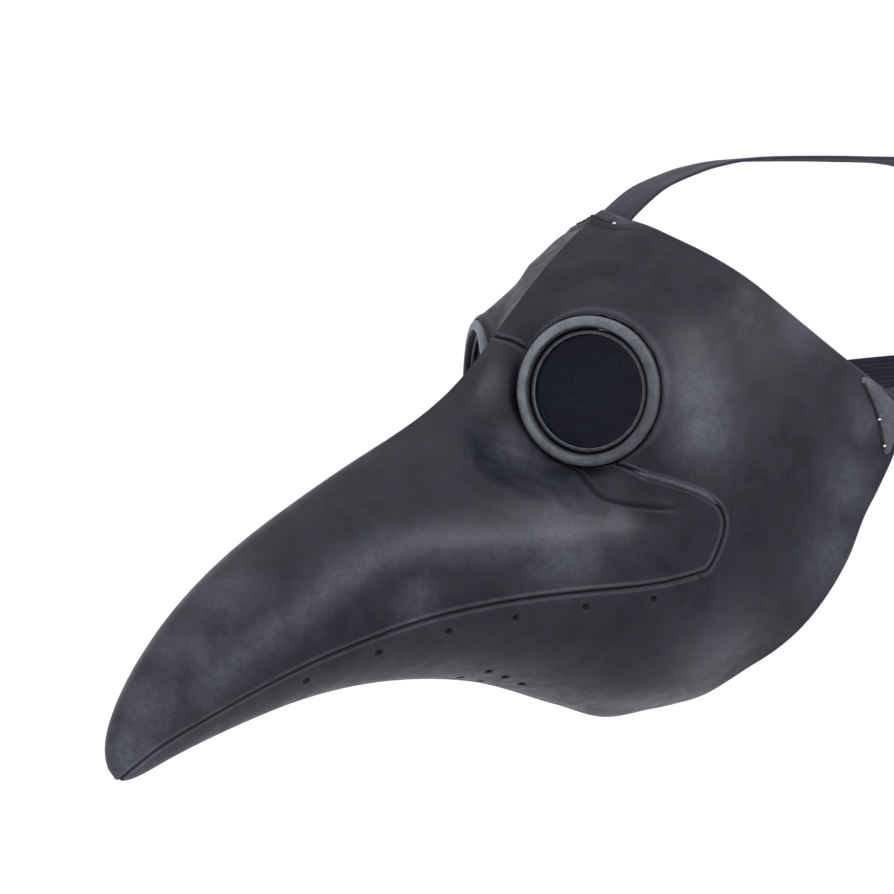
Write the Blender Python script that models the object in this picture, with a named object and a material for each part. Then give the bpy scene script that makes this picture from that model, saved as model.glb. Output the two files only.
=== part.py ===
"""Plague doctor mask with its head harness, built as separate pieces in metres.

Origin between the wearer's eyes, +X to the wearer's left, -Y out along the beak, +Z up.
"""
import math

import bmesh
import bpy
import numpy as np
from mathutils import Vector
from mathutils.geometry import delaunay_2d_cdt

MM = 0.001
GAP = 0.3                      # clearance between neighbouring pieces, mm
FACE_WIDTH = 165.0             # across the temples
BEAK_LENGTH = 235.0            # tip to the bridge, along the wearer's line of sight
BEAK_ROOT_Y = -40.0            # where the beak starts

# shell form at a face width of 165 and a beak length of 235: each station is a slanted section from the top line to the bottom line
HEIGHTS = (0.0, 0.05, 0.13, 0.25, 0.40, 0.56, 0.71, 0.85, 0.95, 1.0)
STATIONS = (
    # top y, z      bottom y, z       half widths at the eight heights between, mm
    (-276.5, -160.0, -262.5, -174.0, 3.0, 4.6, 5.6, 6.0, 5.6, 4.6, 3.4, 2.0),
    (-272.0, -143.0, -247.0, -166.5, 5.0, 8.0, 10.2, 11.5, 11.5, 10.0, 7.0, 3.8),
    (-258.5, -121.0, -226.0, -158.5, 7.5, 12.0, 15.6, 17.8, 18.0, 16.2, 11.4, 6.0),
    (-237.0, -95.5, -201.0, -150.0, 10.0, 16.4, 21.6, 24.6, 25.0, 23.0, 16.8, 9.0),
    (-207.0, -71.0, -174.0, -142.0, 12.0, 20.5, 27.4, 31.6, 32.2, 30.0, 22.4, 12.2),
    (-172.0, -49.5, -146.0, -137.0, 13.5, 24.0, 32.6, 38.0, 39.2, 37.0, 28.4, 15.6),
    (-137.0, -30.0, -119.0, -135.0, 14.0, 26.5, 37.4, 44.2, 46.0, 44.0, 34.4, 19.2),
    (-104.0, -13.5, -92.0, -135.5, 12.0, 25.0, 39.0, 49.2, 52.6, 50.6, 40.2, 23.0),
    (-80.0, 2.5, -64.0, -138.5, 8.0, 17.0, 33.0, 52.0, 58.0, 56.0, 45.4, 26.8),
    (-61.0, 22.5, -39.0, -145.0, 8.5, 13.0, 21.0, 49.0, 62.4, 61.6, 50.8, 30.6),
    (-42.0, 44.0, -14.0, -153.0, 18.0, 31.0, 40.0, 52.0, 68.0, 67.0, 55.6, 34.2),
    (-20.0, 66.0, 10.0, -158.0, 25.0, 47.0, 65.0, 71.0, 75.0, 72.0, 59.8, 37.0),
    (7.0, 88.0, 36.0, -157.0, 30.0, 55.0, 73.0, 78.5, 79.5, 76.6, 63.0, 39.0),
    (42.0, 99.0, 66.0, -152.0, 36.0, 58.0, 75.0, 81.0, 82.0, 79.0, 65.0, 40.0),
    (88.0, 104.0, 100.0, -147.0, 38.0, 60.0, 76.0, 82.0, 82.5, 80.0, 66.0, 41.0),
    (138.0, 104.0, 138.0, -142.0, 38.0, 60.0, 76.0, 82.0, 82.5, 80.0, 66.0, 41.0),
)
TIP = (-272.5, -172.5)         # where all the sections close, y and z
SHELL_THICK = 2.4              # moulded shell wall
SEAM_GAP = 0.6                 # open joint between the upper beak and the face shell

# eyepieces: a round seat pressed flat into the shell, turned out from straight ahead
EYE_X = 38.5
EYE_Y = -29.9
EYE_Z = 0.0
EYE_TURN = math.radians(30.0)
SEAT_OUT_R = 28.9              # outside of the tube that carries the lens
HOLE_R = SEAT_OUT_R + 0.5      # hole through the shell
RING_IN_R = HOLE_R + 0.7
RING_OUT_R = RING_IN_R + 5.1
SEAT_FLAT = RING_OUT_R + 1.4   # radius of the flat seat
SEAT_FADE = SEAT_FLAT + 15.4   # radius where the shell is back to its own form
NOSE_FADE = EYE_X - SEAT_FLAT * math.cos(EYE_TURN) - 1.0   # bridge of the nose to the seat

# seam between the upper beak and the face shell, as (station, height step) points
SEAM = ((0.40, 9.0), (0.42, 7.8), (0.55, 6.4), (0.93, 5.75), (1.8, 5.65), (2.6, 5.85),
        (3.5, 5.98), (4.4, 6.02), (5.4, 6.0), (6.7, 5.87), (8.1, 5.83), (9.7, 5.83),
        (11.4, 5.83), (12.22, 5.82))
LOBE = ((12.40, 5.80), (12.60, 5.60), (12.74, 5.36), (12.74, 5.17), (12.62, 4.99),
        (12.37, 4.80), (12.08, 4.63), (11.80, 4.47), (11.40, 4.26), (10.95, 3.98))
BRIDGE = ((10.38, 0.97), (10.32, 0.62), (10.24, 0.30), (10.16, 0.0))
EYE_SEAM_LOW = math.radians(-67.0)     # where the lobe seam runs under the eyepiece ring
EYE_SEAM_HIGH = math.radians(147.0)    # where the bridge seam runs under it
REAR_EDGE = ((13.12, 0.0), (13.14, 0.5), (13.27, 1.0), (13.48, 1.6), (13.72, 2.17),
             (14.0, 2.6), (14.44, 3.08), (14.93, 3.56), (15.38, 3.93), (15.72, 4.2),
             (15.76, 4.55), (15.66, 4.88), (15.42, 5.3), (15.2, 5.67), (15.02, 6.17),
             (14.71, 6.83), (14.34, 7.55), (14.02, 7.95), (13.78, 8.3), (13.66, 8.65),
             (13.62, 9.0))
BREATHING = ((8.20, 8.52), (8.50, 8.05), (8.95, 8.25), (9.45, 8.45), (8.75, 8.72))
BREATHING_R = 1.5
CHIN_BOSS = (9.0, -155.0, 24.0, 2.2)   # y, z, reach and height of the moulded chin boss

# eyepiece parts: sizes and heights above the seat face
RING_H = 8.2
SEAT_LIP_R = SEAT_OUT_R - 2.2
SEAT_LIP_H = 5.4
SEAT_LIP_T = 1.5
SEAT_WALL = 1.0
SEAT_BACK = -5.2
LENS_T = 2.0
RETAINER_W = 3.2
RETAINER_T = 2.0

# harness
STRAP_W = 28.0
STRAP_T = 1.6
HINGE_Y = 118.0
HINGE_Z = -13.0
BELT_RISE = math.radians(10.0)
TEMPLE_CLEAR = 2.7             # side strap to the inside of the temple
BELT_X = FACE_WIDTH / 2 - SHELL_THICK - TEMPLE_CLEAR - STRAP_T / 2
BELT_START = -8.0
BELT_BACK = 124.0              # hinge line to the back of the head, along the belt
BELT_CURVE = ((BELT_X, 50.0), (BELT_X * 0.995, 62.0), (BELT_X * 0.953, BELT_BACK - 44.0),
              (BELT_X * 0.822, BELT_BACK - 26.0), (BELT_X * 0.6, BELT_BACK - 12.0),
              (BELT_X * 0.34, BELT_BACK - 3.5), (1.6, BELT_BACK))
TOP_PATH = ((3.0, 66.5), (13.0, 74.0), (23.0, 81.8), (34.0, 90.4), (45.0, 98.0),
            (57.0, 104.4), (72.0, 109.8), (96.0, 114.8), (136.0, 117.4), (170.0, 118.5),
            (201.0, 119.0), (220.0, 116.4), (236.0, 107.0), (245.0, 92.0),
            (247.0, 72.0), (243.5, 48.0))
PAD_W = 44.0
PAD_T = 2.0
PAD_TOP = 38.0
SLIDER_AT = 29.0
SLIDER_LEN = 15.0
SLIDER_BAR = 2.6
SLIDER_DEPTH = 1.8
WELT_W = 2.4
WELT_H = 1.4
TAB_T = 1.4
STITCH_TABS = {
    "forehead_tab": ((12.74, 0.0), (12.77, 0.45), (12.88, 0.72), (13.0, 0.76), (13.1, 0.6),
                     (13.1, 0.0), (13.1, -0.6), (13.0, -0.76), (12.88, -0.72),
                     (12.77, -0.45)),
    "temple_tab_left": ((15.2, 3.95), (15.32, 3.92), (15.66, 4.24), (15.7, 4.55),
                        (15.58, 4.84), (15.48, 4.82), (15.42, 4.5), (15.32, 4.2)),
}

CREASE_FROM = 6.0              # the top line sharpens into a crease between these stations
CREASE_TO = 9.0
CELL = 8.0                     # size of the shell's facets
EYE_ROWS = (HOLE_R + 3.6, SEAT_FLAT + 0.2, SEAT_FLAT + 4.4, SEAT_FLAT + 9.4)
PLANE_GROWTH = 0.22


# ---------------------------------------------------------------- shell form
def along_beak(y):
    """A station's y for the chosen beak length."""
    return y if y > BEAK_ROOT_Y else BEAK_ROOT_Y + (y - BEAK_ROOT_Y) * BEAK_LENGTH / 235.0


def control_net():
    """Grid of control points of the +X half, with rows added past each end."""
    rows = []
    for top_y, top_z, low_y, low_z, *widths in STATIONS:
        top = np.array((0.0, along_beak(top_y), top_z))
        low = np.array((0.0, along_beak(low_y), low_z))
        row = [top]
        for share, width in zip(HEIGHTS[1:-1], widths):
            row.append(top + (low - top) * share
                       + np.array((width * FACE_WIDTH / 165.0, 0.0, 0.0)))
        row.append(low)
        rows.append(row)
    net = np.array(rows)
    mirror = np.array((-1.0, 1.0, 1.0))
    tip = np.tile(np.array((0.0, along_beak(TIP[0]), TIP[1])), (1, net.shape[1], 1))
    net = np.concatenate([tip, net])
    before = (net[1][::-1] * mirror)[None]
    after = (2.0 * net[-1] - net[-2])[None]
    net = np.concatenate([before, net, after])
    station = np.arange(net.shape[0]) - 1.0
    sharp = np.clip((station - CREASE_FROM) / (CREASE_TO - CREASE_FROM), 0.0, 1.0)
    sharp = sharp[:, None, None]
    rounded = net[:, 1:2] * mirror
    folded = 2.0 * net[:, :1] - net[:, 1:2]
    first = rounded * (1.0 - sharp) + folded * sharp
    return np.concatenate([first, net, net[:, -2:-1] * mirror], axis=1)


NET = control_net()
LAST = float(NET.shape[0] - 3)
LOW = float(NET.shape[1] - 3)


def weights(u):
    return ((1 - u) ** 3 / 6, (3 * u ** 3 - 6 * u ** 2 + 4) / 6,
            (-3 * u ** 3 + 3 * u ** 2 + 3 * u + 1) / 6, u ** 3 / 6)


def smooth(x):
    x = np.clip(x, 0.0, 1.0)
    return x * x * (3.0 - 2.0 * x)


def eye_frame(side):
    """Centre of the seat, its outward normal and its two in-plane directions."""
    centre = np.array((side * EYE_X, EYE_Y, EYE_Z))
    normal = np.array((side * math.sin(EYE_TURN), -math.cos(EYE_TURN), 0.0))
    across = np.array((side * math.cos(EYE_TURN), math.sin(EYE_TURN), 0.0))
    return centre, normal, across, np.array((0.0, 0.0, 1.0))


def shell_point(station, step):
    """Outer surface point in mm; step runs 0 at the top line to 9 at the bottom one."""
    station = np.asarray(station, float)
    step = np.asarray(step, float)
    flip = np.where(step < 0.0, -1.0, 1.0)
    step = np.abs(step)
    row = np.clip(np.floor(station), 0, LAST - 1).astype(int)
    col = np.clip(np.floor(step), 0, LOW - 1).astype(int)
    by_row = weights(station - row)
    by_col = weights(step - col)
    point = np.zeros(station.shape + (3,))
    for a in range(4):
        for b in range(4):
            point += (by_row[a] * by_col[b])[..., None] * NET[row + a, col + b]
    point[..., 0] *= flip
    for side in (1.0, -1.0):
        centre, normal, _, _ = eye_frame(side)
        offset = point - centre
        height = offset @ normal
        reach = np.linalg.norm(offset - height[..., None] * normal, axis=-1)
        share = 1.0 - smooth((reach - SEAT_FLAT) / (SEAT_FADE - SEAT_FLAT))
        share = share * (point[..., 0] * side > 0.0)
        share = share * smooth((np.abs(point[..., 0]) - 1.0) / NOSE_FADE)
        point = point - (height * share)[..., None] * normal
    boss_y, boss_z, boss_reach, boss_height = CHIN_BOSS
    away = np.sqrt(point[..., 0] ** 2 + (point[..., 1] - boss_y) ** 2
                   + (point[..., 2] - boss_z) ** 2)
    point[..., 2] -= boss_height * smooth(1.0 - away / boss_reach)
    return point


def shell_slopes(station, step, small=0.004):
    low = np.maximum(np.asarray(station, float) - small, 0.0)
    high = np.minimum(np.asarray(station, float) + small, LAST)
    along = (shell_point(high, step) - shell_point(low, step)) / (high - low)[..., None]
    step = np.asarray(step, float)
    around = (shell_point(station, step + small) - shell_point(station, step - small))
    return along, around / (2.0 * small)


def shell_normal(station, step):
    station = np.asarray(station, float)
    step = np.asarray(step, float)
    along, around = shell_slopes(np.maximum(station, 0.02), step)
    normal = np.cross(along, around)
    length = np.linalg.norm(normal, axis=-1, keepdims=True)
    normal = normal / np.maximum(length, 1e-9)
    reference = shell_slopes(np.array(6.0), np.array(4.0))
    if np.cross(*reference)[0] < 0.0:
        normal = -normal
    normal[station < 0.02] = np.array((0.0, -0.85, -0.527))
    centre_line = np.abs(step) < 1e-6
    normal[centre_line, 0] = 0.0
    normal = normal / np.linalg.norm(normal, axis=-1, keepdims=True)
    return normal


# ---------------------------------------------------------------- outlines on the shell
def to_plane(station, step):
    """Flat picture of the whole shell: the tip in the middle, the rear edge outside."""
    radius = np.exp(PLANE_GROWTH * np.asarray(station, float)) - 1.0
    angle = math.pi * np.asarray(step, float) / LOW
    return np.stack([radius * np.cos(angle), radius * np.sin(angle)], axis=-1)


def from_plane(spot):
    radius = np.hypot(spot[..., 0], spot[..., 1])
    angle = np.arctan2(spot[..., 1], spot[..., 0])
    return np.log(radius + 1.0) / PLANE_GROWTH, angle * LOW / math.pi


def through(points, spacing, closed=False):
    """Smooth curve through hand-set (station, step) points, evenly spaced in mm."""
    points = [np.array(p, float) for p in points]
    count = len(points)
    dense = []
    spans = count if closed else count - 1
    for k in range(spans):
        if closed:
            p0, p1, p2, p3 = (points[(k + d) % count] for d in (-1, 0, 1, 2))
        else:
            p1, p2 = points[k], points[k + 1]
            p0 = points[k - 1] if k else 2 * p1 - p2
            p3 = points[k + 2] if k + 2 < count else 2 * p2 - p1
        for t in np.linspace(0.0, 1.0, 24, endpoint=False):
            dense.append(0.5 * (2 * p1 + (p2 - p0) * t + (2 * p0 - 5 * p1 + 4 * p2 - p3)
                                * t ** 2 + (3 * p1 - p0 - 3 * p2 + p3) * t ** 3))
    dense.append(points[0] if closed else points[-1])
    dense = np.array(dense)
    place = shell_point(dense[:, 0], dense[:, 1])
    run = np.concatenate([[0.0], np.cumsum(np.linalg.norm(np.diff(place, axis=0), axis=1))])
    pieces = max(2, int(round(run[-1] / spacing)))
    want = np.linspace(0.0, run[-1], pieces + 1)
    if closed:
        want = want[:-1]
    return np.stack([np.interp(want, run, dense[:, k]) for k in (0, 1)], axis=-1)


def eye_points(angles, radius):
    """(station, step) of points on a circle about the +X eye."""
    centre, _, across, up = eye_frame(1.0)
    station, step = np.meshgrid(np.linspace(8.5, 13.0, 46), np.linspace(0.1, 5.5, 55))
    station = station.ravel()
    step = step.ravel()
    offset = shell_point(station, step) - centre
    flat = np.stack([offset @ across, offset @ up], axis=-1)
    found = []
    for angle in angles:
        aim = radius * np.array((math.cos(angle), math.sin(angle)))
        k = int(np.argmin(np.linalg.norm(flat - aim, axis=-1)))
        guess = np.array((station[k], step[k]))
        for _ in range(25):
            away = shell_point(guess[0], guess[1]) - centre
            miss = aim - np.array((away @ across, away @ up))
            along, around = shell_slopes(guess[0], guess[1])
            slope = np.array(((along @ across, around @ across), (along @ up, around @ up)))
            guess = guess + np.clip(np.linalg.solve(slope, miss), -0.3, 0.3)
        found.append(guess)
    return np.array(found)


def mirrored(curve):
    return curve[::-1] * np.array((1.0, -1.0))


def shrink(loop, amount, inward):
    """Move a closed (station, step) loop sideways on the surface by an amount in mm."""
    place = shell_point(loop[:, 0], loop[:, 1])
    normal = shell_normal(loop[:, 0], loop[:, 1])
    ahead = np.roll(place, -1, axis=0) - place
    behind = place - np.roll(place, 1, axis=0)
    ahead /= np.linalg.norm(ahead, axis=1, keepdims=True)
    behind /= np.linalg.norm(behind, axis=1, keepdims=True)
    side = np.cross(normal, ahead) + np.cross(normal, behind)
    length = np.linalg.norm(side, axis=1, keepdims=True)
    side = side / length * np.minimum(2.0 / np.maximum(length, 0.3), 2.0)
    flat = to_plane(loop[:, 0], loop[:, 1])
    area = np.sum(flat[:, 0] * np.roll(flat[:, 1], -1) - np.roll(flat[:, 0], -1) * flat[:, 1])
    sense = handedness() * (1.0 if area > 0 else -1.0)
    shift = side * amount * sense * (1.0 if inward else -1.0)
    out = []
    for k in range(len(loop)):
        along, around = shell_slopes(loop[k, 0], loop[k, 1])
        basis = np.stack([along, around], axis=1)
        move = np.linalg.lstsq(basis, shift[k], rcond=None)[0]
        out.append(loop[k] + move)
    out = np.array(out)
    out[:, 0] = np.maximum(out[:, 0], 0.0)
    return out


def handedness():
    """+1 when the flat picture of the shell has the same turning sense as its outside."""
    spot = np.array((6.0, 4.0))
    along, around = shell_slopes(spot[0], spot[1])
    normal = shell_normal(np.array([6.0]), np.array([4.0]))[0]
    grow = to_plane(6.01, 4.0) - to_plane(6.0, 4.0)
    turn = to_plane(6.0, 4.01) - to_plane(6.0, 4.0)
    flat = grow[0] * turn[1] - grow[1] * turn[0]
    return float(np.sign(flat) * np.sign(np.cross(along, around) @ normal))


def inside(spots, loops):
    hit = np.zeros(len(spots), bool)
    for loop in loops:
        start = to_plane(loop[:, 0], loop[:, 1])
        end = np.roll(start, -1, axis=0)
        for a, b in zip(start, end):
            if a[1] == b[1]:
                continue
            crosses = (a[1] > spots[:, 1]) != (b[1] > spots[:, 1])
            at = a[0] + (spots[:, 1] - a[1]) * (b[0] - a[0]) / (b[1] - a[1])
            hit ^= crosses & (spots[:, 0] < at)
    return hit


def seam_loop(spacing, upper):
    """Closed seam curve with the eye hole arcs on the upper beak's or the face's side."""
    run = through(SEAM, spacing)
    lobe = outside_seat(through(SEAM[-1:] + LOBE, min(spacing, 3.0))[1:])
    low_in = np.concatenate([eye_points([EYE_SEAM_LOW], radius)
                             for radius in (SEAT_FLAT + 0.3, HOLE_R + 3.5)])
    low_end, high_end = EYE_SEAM_LOW, EYE_SEAM_HIGH - 2.0 * math.pi
    if not upper:
        high_end = EYE_SEAM_HIGH
    turns = max(8, int(round(abs(high_end - low_end) * HOLE_R / min(spacing, 4.0))))
    arc = eye_points(np.linspace(low_end, high_end, turns + 1), HOLE_R)
    high_in = np.concatenate([eye_points([EYE_SEAM_HIGH], radius)
                              for radius in (HOLE_R + 3.5, SEAT_FLAT + 0.3)])
    bridge = outside_seat(through(BRIDGE, spacing))
    half = np.concatenate([run, lobe, low_in, arc, high_in, bridge])
    return np.concatenate([half, mirrored(half)[1:-1]])


def outside_seat(curve):
    """The part of a curve that is clear of the flat seat round the +X eye."""
    centre, normal, _, _ = eye_frame(1.0)
    offset = shell_point(curve[:, 0], curve[:, 1]) - centre
    height = offset @ normal
    reach = np.linalg.norm(offset - height[:, None] * normal, axis=1)
    return curve[reach > SEAT_FLAT + 2.0]


def clean_loop(loop, smallest):
    """Drop points that sit closer than the smallest spacing to the one before."""
    kept = [loop[0]]
    for spot in loop[1:]:
        gap = shell_point(spot[0], spot[1]) - shell_point(kept[-1][0], kept[-1][1])
        if np.linalg.norm(gap) >= smallest:
            kept.append(spot)
    first = shell_point(kept[0][0], kept[0][1]) - shell_point(kept[-1][0], kept[-1][1])
    if np.linalg.norm(first) < smallest:
        kept.pop()
    return np.array(kept)


def grid_spots(cell):
    """Even spread of (station, step) spots over the whole shell."""
    spots = [(0.0, 0.0)]
    station = 0.22
    while station < LAST:
        steps = np.linspace(-LOW, LOW, 73)
        ring = shell_point(np.full(73, station), steps)
        girth = float(np.sum(np.linalg.norm(np.diff(ring, axis=0), axis=1)))
        half = max(3, int(round(girth / cell / 2.0)))
        for k in range(-half + 1, half + 1):
            spots.append((station, LOW * k / half))
        ahead = shell_point(station + 0.1, 4.0) - shell_point(station, 4.0)
        station += 0.1 * cell / max(float(np.linalg.norm(ahead)), 0.4)
    spots = np.array(spots)
    place = shell_point(spots[:, 0], spots[:, 1])
    for side in (1.0, -1.0):
        centre, normal, _, _ = eye_frame(side)
        offset = place - centre
        height = offset @ normal
        reach = np.linalg.norm(offset - height[:, None] * normal, axis=1)
        clear = (reach > EYE_ROWS[-1] + cell * 0.5) | (np.abs(height) > 25.0)
        spots = spots[clear]
        place = place[clear]
    for radius in EYE_ROWS:
        ring = eye_points(2.0 * math.pi * np.arange(30) / 30.0, radius)
        spots = np.concatenate([spots, ring, ring * np.array((1.0, -1.0))])
    return spots


# ---------------------------------------------------------------- mesh building
def new_object(name, points, faces, colour, roughness, metallic=0.0):
    mesh = bpy.data.meshes.new(name)
    mesh.from_pydata([tuple(float(c) * MM for c in p) for p in points], [], faces)
    work = bmesh.new()
    work.from_mesh(mesh)
    bmesh.ops.recalc_face_normals(work, faces=work.faces)
    work.to_mesh(mesh)
    work.free()
    material = bpy.data.materials.new(name + "_material")
    material.use_nodes = True
    shader = material.node_tree.nodes["Principled BSDF"]
    shader.inputs["Base Color"].default_value = (*colour, 1.0)
    shader.inputs["Roughness"].default_value = roughness
    shader.inputs["Metallic"].default_value = metallic
    mesh.materials.append(material)
    item = bpy.data.objects.new(name, mesh)
    bpy.context.scene.collection.objects.link(item)
    return item


def panel(name, loops, top, bottom, colour, roughness, cell=CELL):
    """Piece of the shell between two offsets, bounded by closed loops."""
    spots = []
    edges = []
    for loop in loops:
        start = len(spots)
        spots.extend(loop)
        edges.extend((start + k, start + (k + 1) % len(loop)) for k in range(len(loop)))
    rim = np.array(spots)
    rim_place = shell_point(rim[:, 0], rim[:, 1])
    filling = grid_spots(cell)
    filling = filling[inside(to_plane(filling[:, 0], filling[:, 1]), loops)]
    if len(filling):
        place = shell_point(filling[:, 0], filling[:, 1])
        near = np.min(np.linalg.norm(place[:, None] - rim_place[None], axis=-1), axis=1)
        filling = filling[near > cell * 0.4]
    everything = np.concatenate([rim, filling]) if len(filling) else rim
    flat = to_plane(everything[:, 0], everything[:, 1])
    verts, _, faces, origins, _, _ = delaunay_2d_cdt(
        [Vector(p) for p in flat], edges, [], 0, 1e-7)
    if len(verts) != len(flat):
        raise RuntimeError(name + ": outline points fell together")
    order = [source[0] for source in origins]
    centres = np.array([sum((flat[order[v]] for v in face), np.zeros(2)) / 3
                        for face in faces])
    keep = inside(centres, loops)
    faces = [[order[v] for v in face] for face, good in zip(faces, keep) if good]
    outer = shell_point(everything[:, 0], everything[:, 1])
    normal = shell_normal(everything[:, 0], everything[:, 1])
    count = len(outer)
    points = np.concatenate([outer + normal * top, outer + normal * bottom])
    solid = [tuple(face) for face in faces]
    solid += [tuple(v + count for v in reversed(face)) for face in faces]
    used = {}
    for face in faces:
        for k in range(3):
            a, b = face[k], face[(k + 1) % 3]
            used[(a, b)] = True
    for a, b in list(used):
        if (b, a) not in used:
            solid.append((b, a, a + count, b + count))
    return new_object(name, points, solid, colour, roughness)


def lathe(name, profile, side, colour, roughness, metallic=0.0, turns=56):
    """Turned body about an eye axis from a closed (radius, height) profile."""
    centre, normal, across, up = eye_frame(side)
    points = []
    faces = []
    count = len(profile)
    index = {}
    for k in range(turns):
        angle = 2.0 * math.pi * k / turns
        spoke = across * math.cos(angle) + up * math.sin(angle)
        for m, (radius, height) in enumerate(profile):
            if radius == 0.0 and k:
                index[(k, m)] = index[(0, m)]
                continue
            index[(k, m)] = len(points)
            points.append(centre + spoke * radius + normal * height)
    for k in range(turns):
        ahead = (k + 1) % turns
        for m in range(count):
            after = (m + 1) % count
            if profile[m][0] == 0.0 and profile[after][0] == 0.0:
                continue
            corners = [index[(k, m)], index[(ahead, m)], index[(ahead, after)],
                       index[(k, after)]]
            ring = []
            for corner in corners:
                if corner not in ring:
                    ring.append(corner)
            faces.append(tuple(ring))
    return new_object(name, points, faces, colour, roughness, metallic)


def strip(name, path, wide, thick, width, thickness, colour, roughness):
    """Flat strap along a path; wide and thick give its two cross directions."""
    points = []
    faces = []
    for spot, across, out in zip(path, wide, thick):
        for a, b in ((-1, -1), (1, -1), (1, 1), (-1, 1)):
            points.append(spot + across * a * width / 2 + out * b * thickness / 2)
    last = len(path) - 1
    for k in range(last):
        for m in range(4):
            n = (m + 1) % 4
            faces.append((4 * k + m, 4 * k + n, 4 * k + 4 + n, 4 * k + 4 + m))
    faces.append((3, 2, 1, 0))
    faces.append(tuple(4 * last + m for m in range(4)))
    return new_object(name, points, faces, colour, roughness)


def smooth_path(points, spacing):
    """Even points along a natural-looking curve through plain (a, b) points in mm."""
    points = [np.array(p, float) for p in points]
    dense = []
    for k in range(len(points) - 1):
        p1, p2 = points[k], points[k + 1]
        p0 = points[k - 1] if k else 2 * p1 - p2
        p3 = points[k + 2] if k + 2 < len(points) else 2 * p2 - p1
        for t in np.linspace(0.0, 1.0, 20, endpoint=False):
            dense.append(0.5 * (2 * p1 + (p2 - p0) * t + (2 * p0 - 5 * p1 + 4 * p2 - p3)
                                * t ** 2 + (3 * p1 - p0 - 3 * p2 + p3) * t ** 3))
    dense.append(points[-1])
    dense = np.array(dense)
    run = np.concatenate([[0.0], np.cumsum(np.linalg.norm(np.diff(dense, axis=0), axis=1))])
    want = np.linspace(0.0, run[-1], max(2, int(round(run[-1] / spacing))) + 1)
    return np.stack([np.interp(want, run, dense[:, k]) for k in (0, 1)], axis=-1)


def belt_point(x, along, rise):
    """Harness place from sideways x, run along the belt and height across it."""
    return np.array((x, HINGE_Y + along * math.cos(BELT_RISE) - rise * math.sin(BELT_RISE),
                     HINGE_Z + along * math.sin(BELT_RISE) + rise * math.cos(BELT_RISE)))


def cell_body(name, marks, filled, place, colour, roughness, metallic=0.0):
    """Body made of the filled cells of a rectangular grid with shared corners."""
    faces = []
    points = []
    index = {}

    def corner(key):
        if key not in index:
            index[key] = len(points)
            points.append(place(*(marks[axis][key[axis]] for axis in range(3))))
        return index[key]

    for cell in sorted(filled):
        for axis in range(3):
            for step in (0, 1):
                beside = list(cell)
                beside[axis] += 1 if step else -1
                if tuple(beside) in filled:
                    continue
                others = [d for d in range(3) if d != axis]
                ring = []
                for p, q in ((0, 0), (1, 0), (1, 1), (0, 1)):
                    key = list(cell)
                    key[axis] += step
                    key[others[0]] += p
                    key[others[1]] += q
                    ring.append(corner(tuple(key)))
                faces.append(tuple(ring))
    return new_object(name, points, faces, colour, roughness, metallic)


# ---------------------------------------------------------------- the pieces
SHELL_COLOUR = (0.030, 0.032, 0.040)
BEAK_COLOUR = (0.036, 0.038, 0.047)
RING_COLOUR = (0.045, 0.047, 0.056)
LIP_COLOUR = (0.085, 0.088, 0.098)
LENS_COLOUR = (0.008, 0.009, 0.012)
STRAP_COLOUR = (0.035, 0.033, 0.048)
BUCKLE_COLOUR = (0.018, 0.018, 0.020)


def build_shells():
    beak = shrink(clean_loop(seam_loop(6.0, True), 0.8), SEAM_GAP / 2, True)
    panel("beak_upper", [beak], 0.0, -SHELL_THICK, BEAK_COLOUR, 0.42)
    around_beak = shrink(clean_loop(seam_loop(6.0, False), 0.8), SEAM_GAP / 2, False)
    rear_half = through(REAR_EDGE, 7.0)
    rear = np.concatenate([rear_half, mirrored(rear_half)[1:-1]])
    loops = [rear, around_beak]
    for station, step in BREATHING:
        for side in (1.0, -1.0):
            along, around = shell_slopes(station, step * side)
            hole = []
            for k in range(8):
                angle = 2.0 * math.pi * k / 8
                hole.append((station + BREATHING_R * math.cos(angle) / np.linalg.norm(along),
                             step * side + BREATHING_R * math.sin(angle)
                             / np.linalg.norm(around)))
            loops.append(np.array(hole))
    panel("face_shell", loops, 0.0, -SHELL_THICK, SHELL_COLOUR, 0.42)


def build_eyepieces():
    lens_r = SEAT_OUT_R - SEAT_WALL - GAP
    lens_top = SEAT_LIP_H - SEAT_LIP_T - GAP
    lens_low = lens_top - LENS_T
    hold_top = lens_low - GAP
    hold_low = hold_top - RETAINER_T
    for side, tag in ((1.0, "left"), (-1.0, "right")):
        lathe("eye_ring_" + tag,
              ((RING_IN_R, GAP), (RING_OUT_R, GAP), (RING_OUT_R, RING_H - 2.6),
               (RING_OUT_R - 0.8, RING_H - 0.8), (RING_OUT_R - 2.4, RING_H),
               (RING_IN_R + 1.6, RING_H), (RING_IN_R + 0.4, RING_H - 0.6),
               (RING_IN_R, RING_H - 1.8)), side, RING_COLOUR, 0.4)
        lathe("lens_seat_" + tag,
              ((SEAT_LIP_R, SEAT_LIP_H - SEAT_LIP_T), (SEAT_OUT_R - SEAT_WALL,
               SEAT_LIP_H - SEAT_LIP_T), (SEAT_OUT_R - SEAT_WALL, SEAT_BACK),
               (SEAT_OUT_R, SEAT_BACK), (SEAT_OUT_R, SEAT_LIP_H - 0.4),
               (SEAT_OUT_R - 0.5, SEAT_LIP_H), (SEAT_LIP_R + 0.4, SEAT_LIP_H)),
              side, LIP_COLOUR, 0.35)
        lathe("lens_" + tag,
              ((0.0, lens_top), (lens_r, lens_top), (lens_r, lens_low), (0.0, lens_low)),
              side, LENS_COLOUR, 0.12)
        lathe("lens_retainer_" + tag,
              ((lens_r - RETAINER_W, hold_top), (lens_r, hold_top), (lens_r, hold_low),
               (lens_r - RETAINER_W, hold_low)), side, BUCKLE_COLOUR, 0.5)


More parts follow.
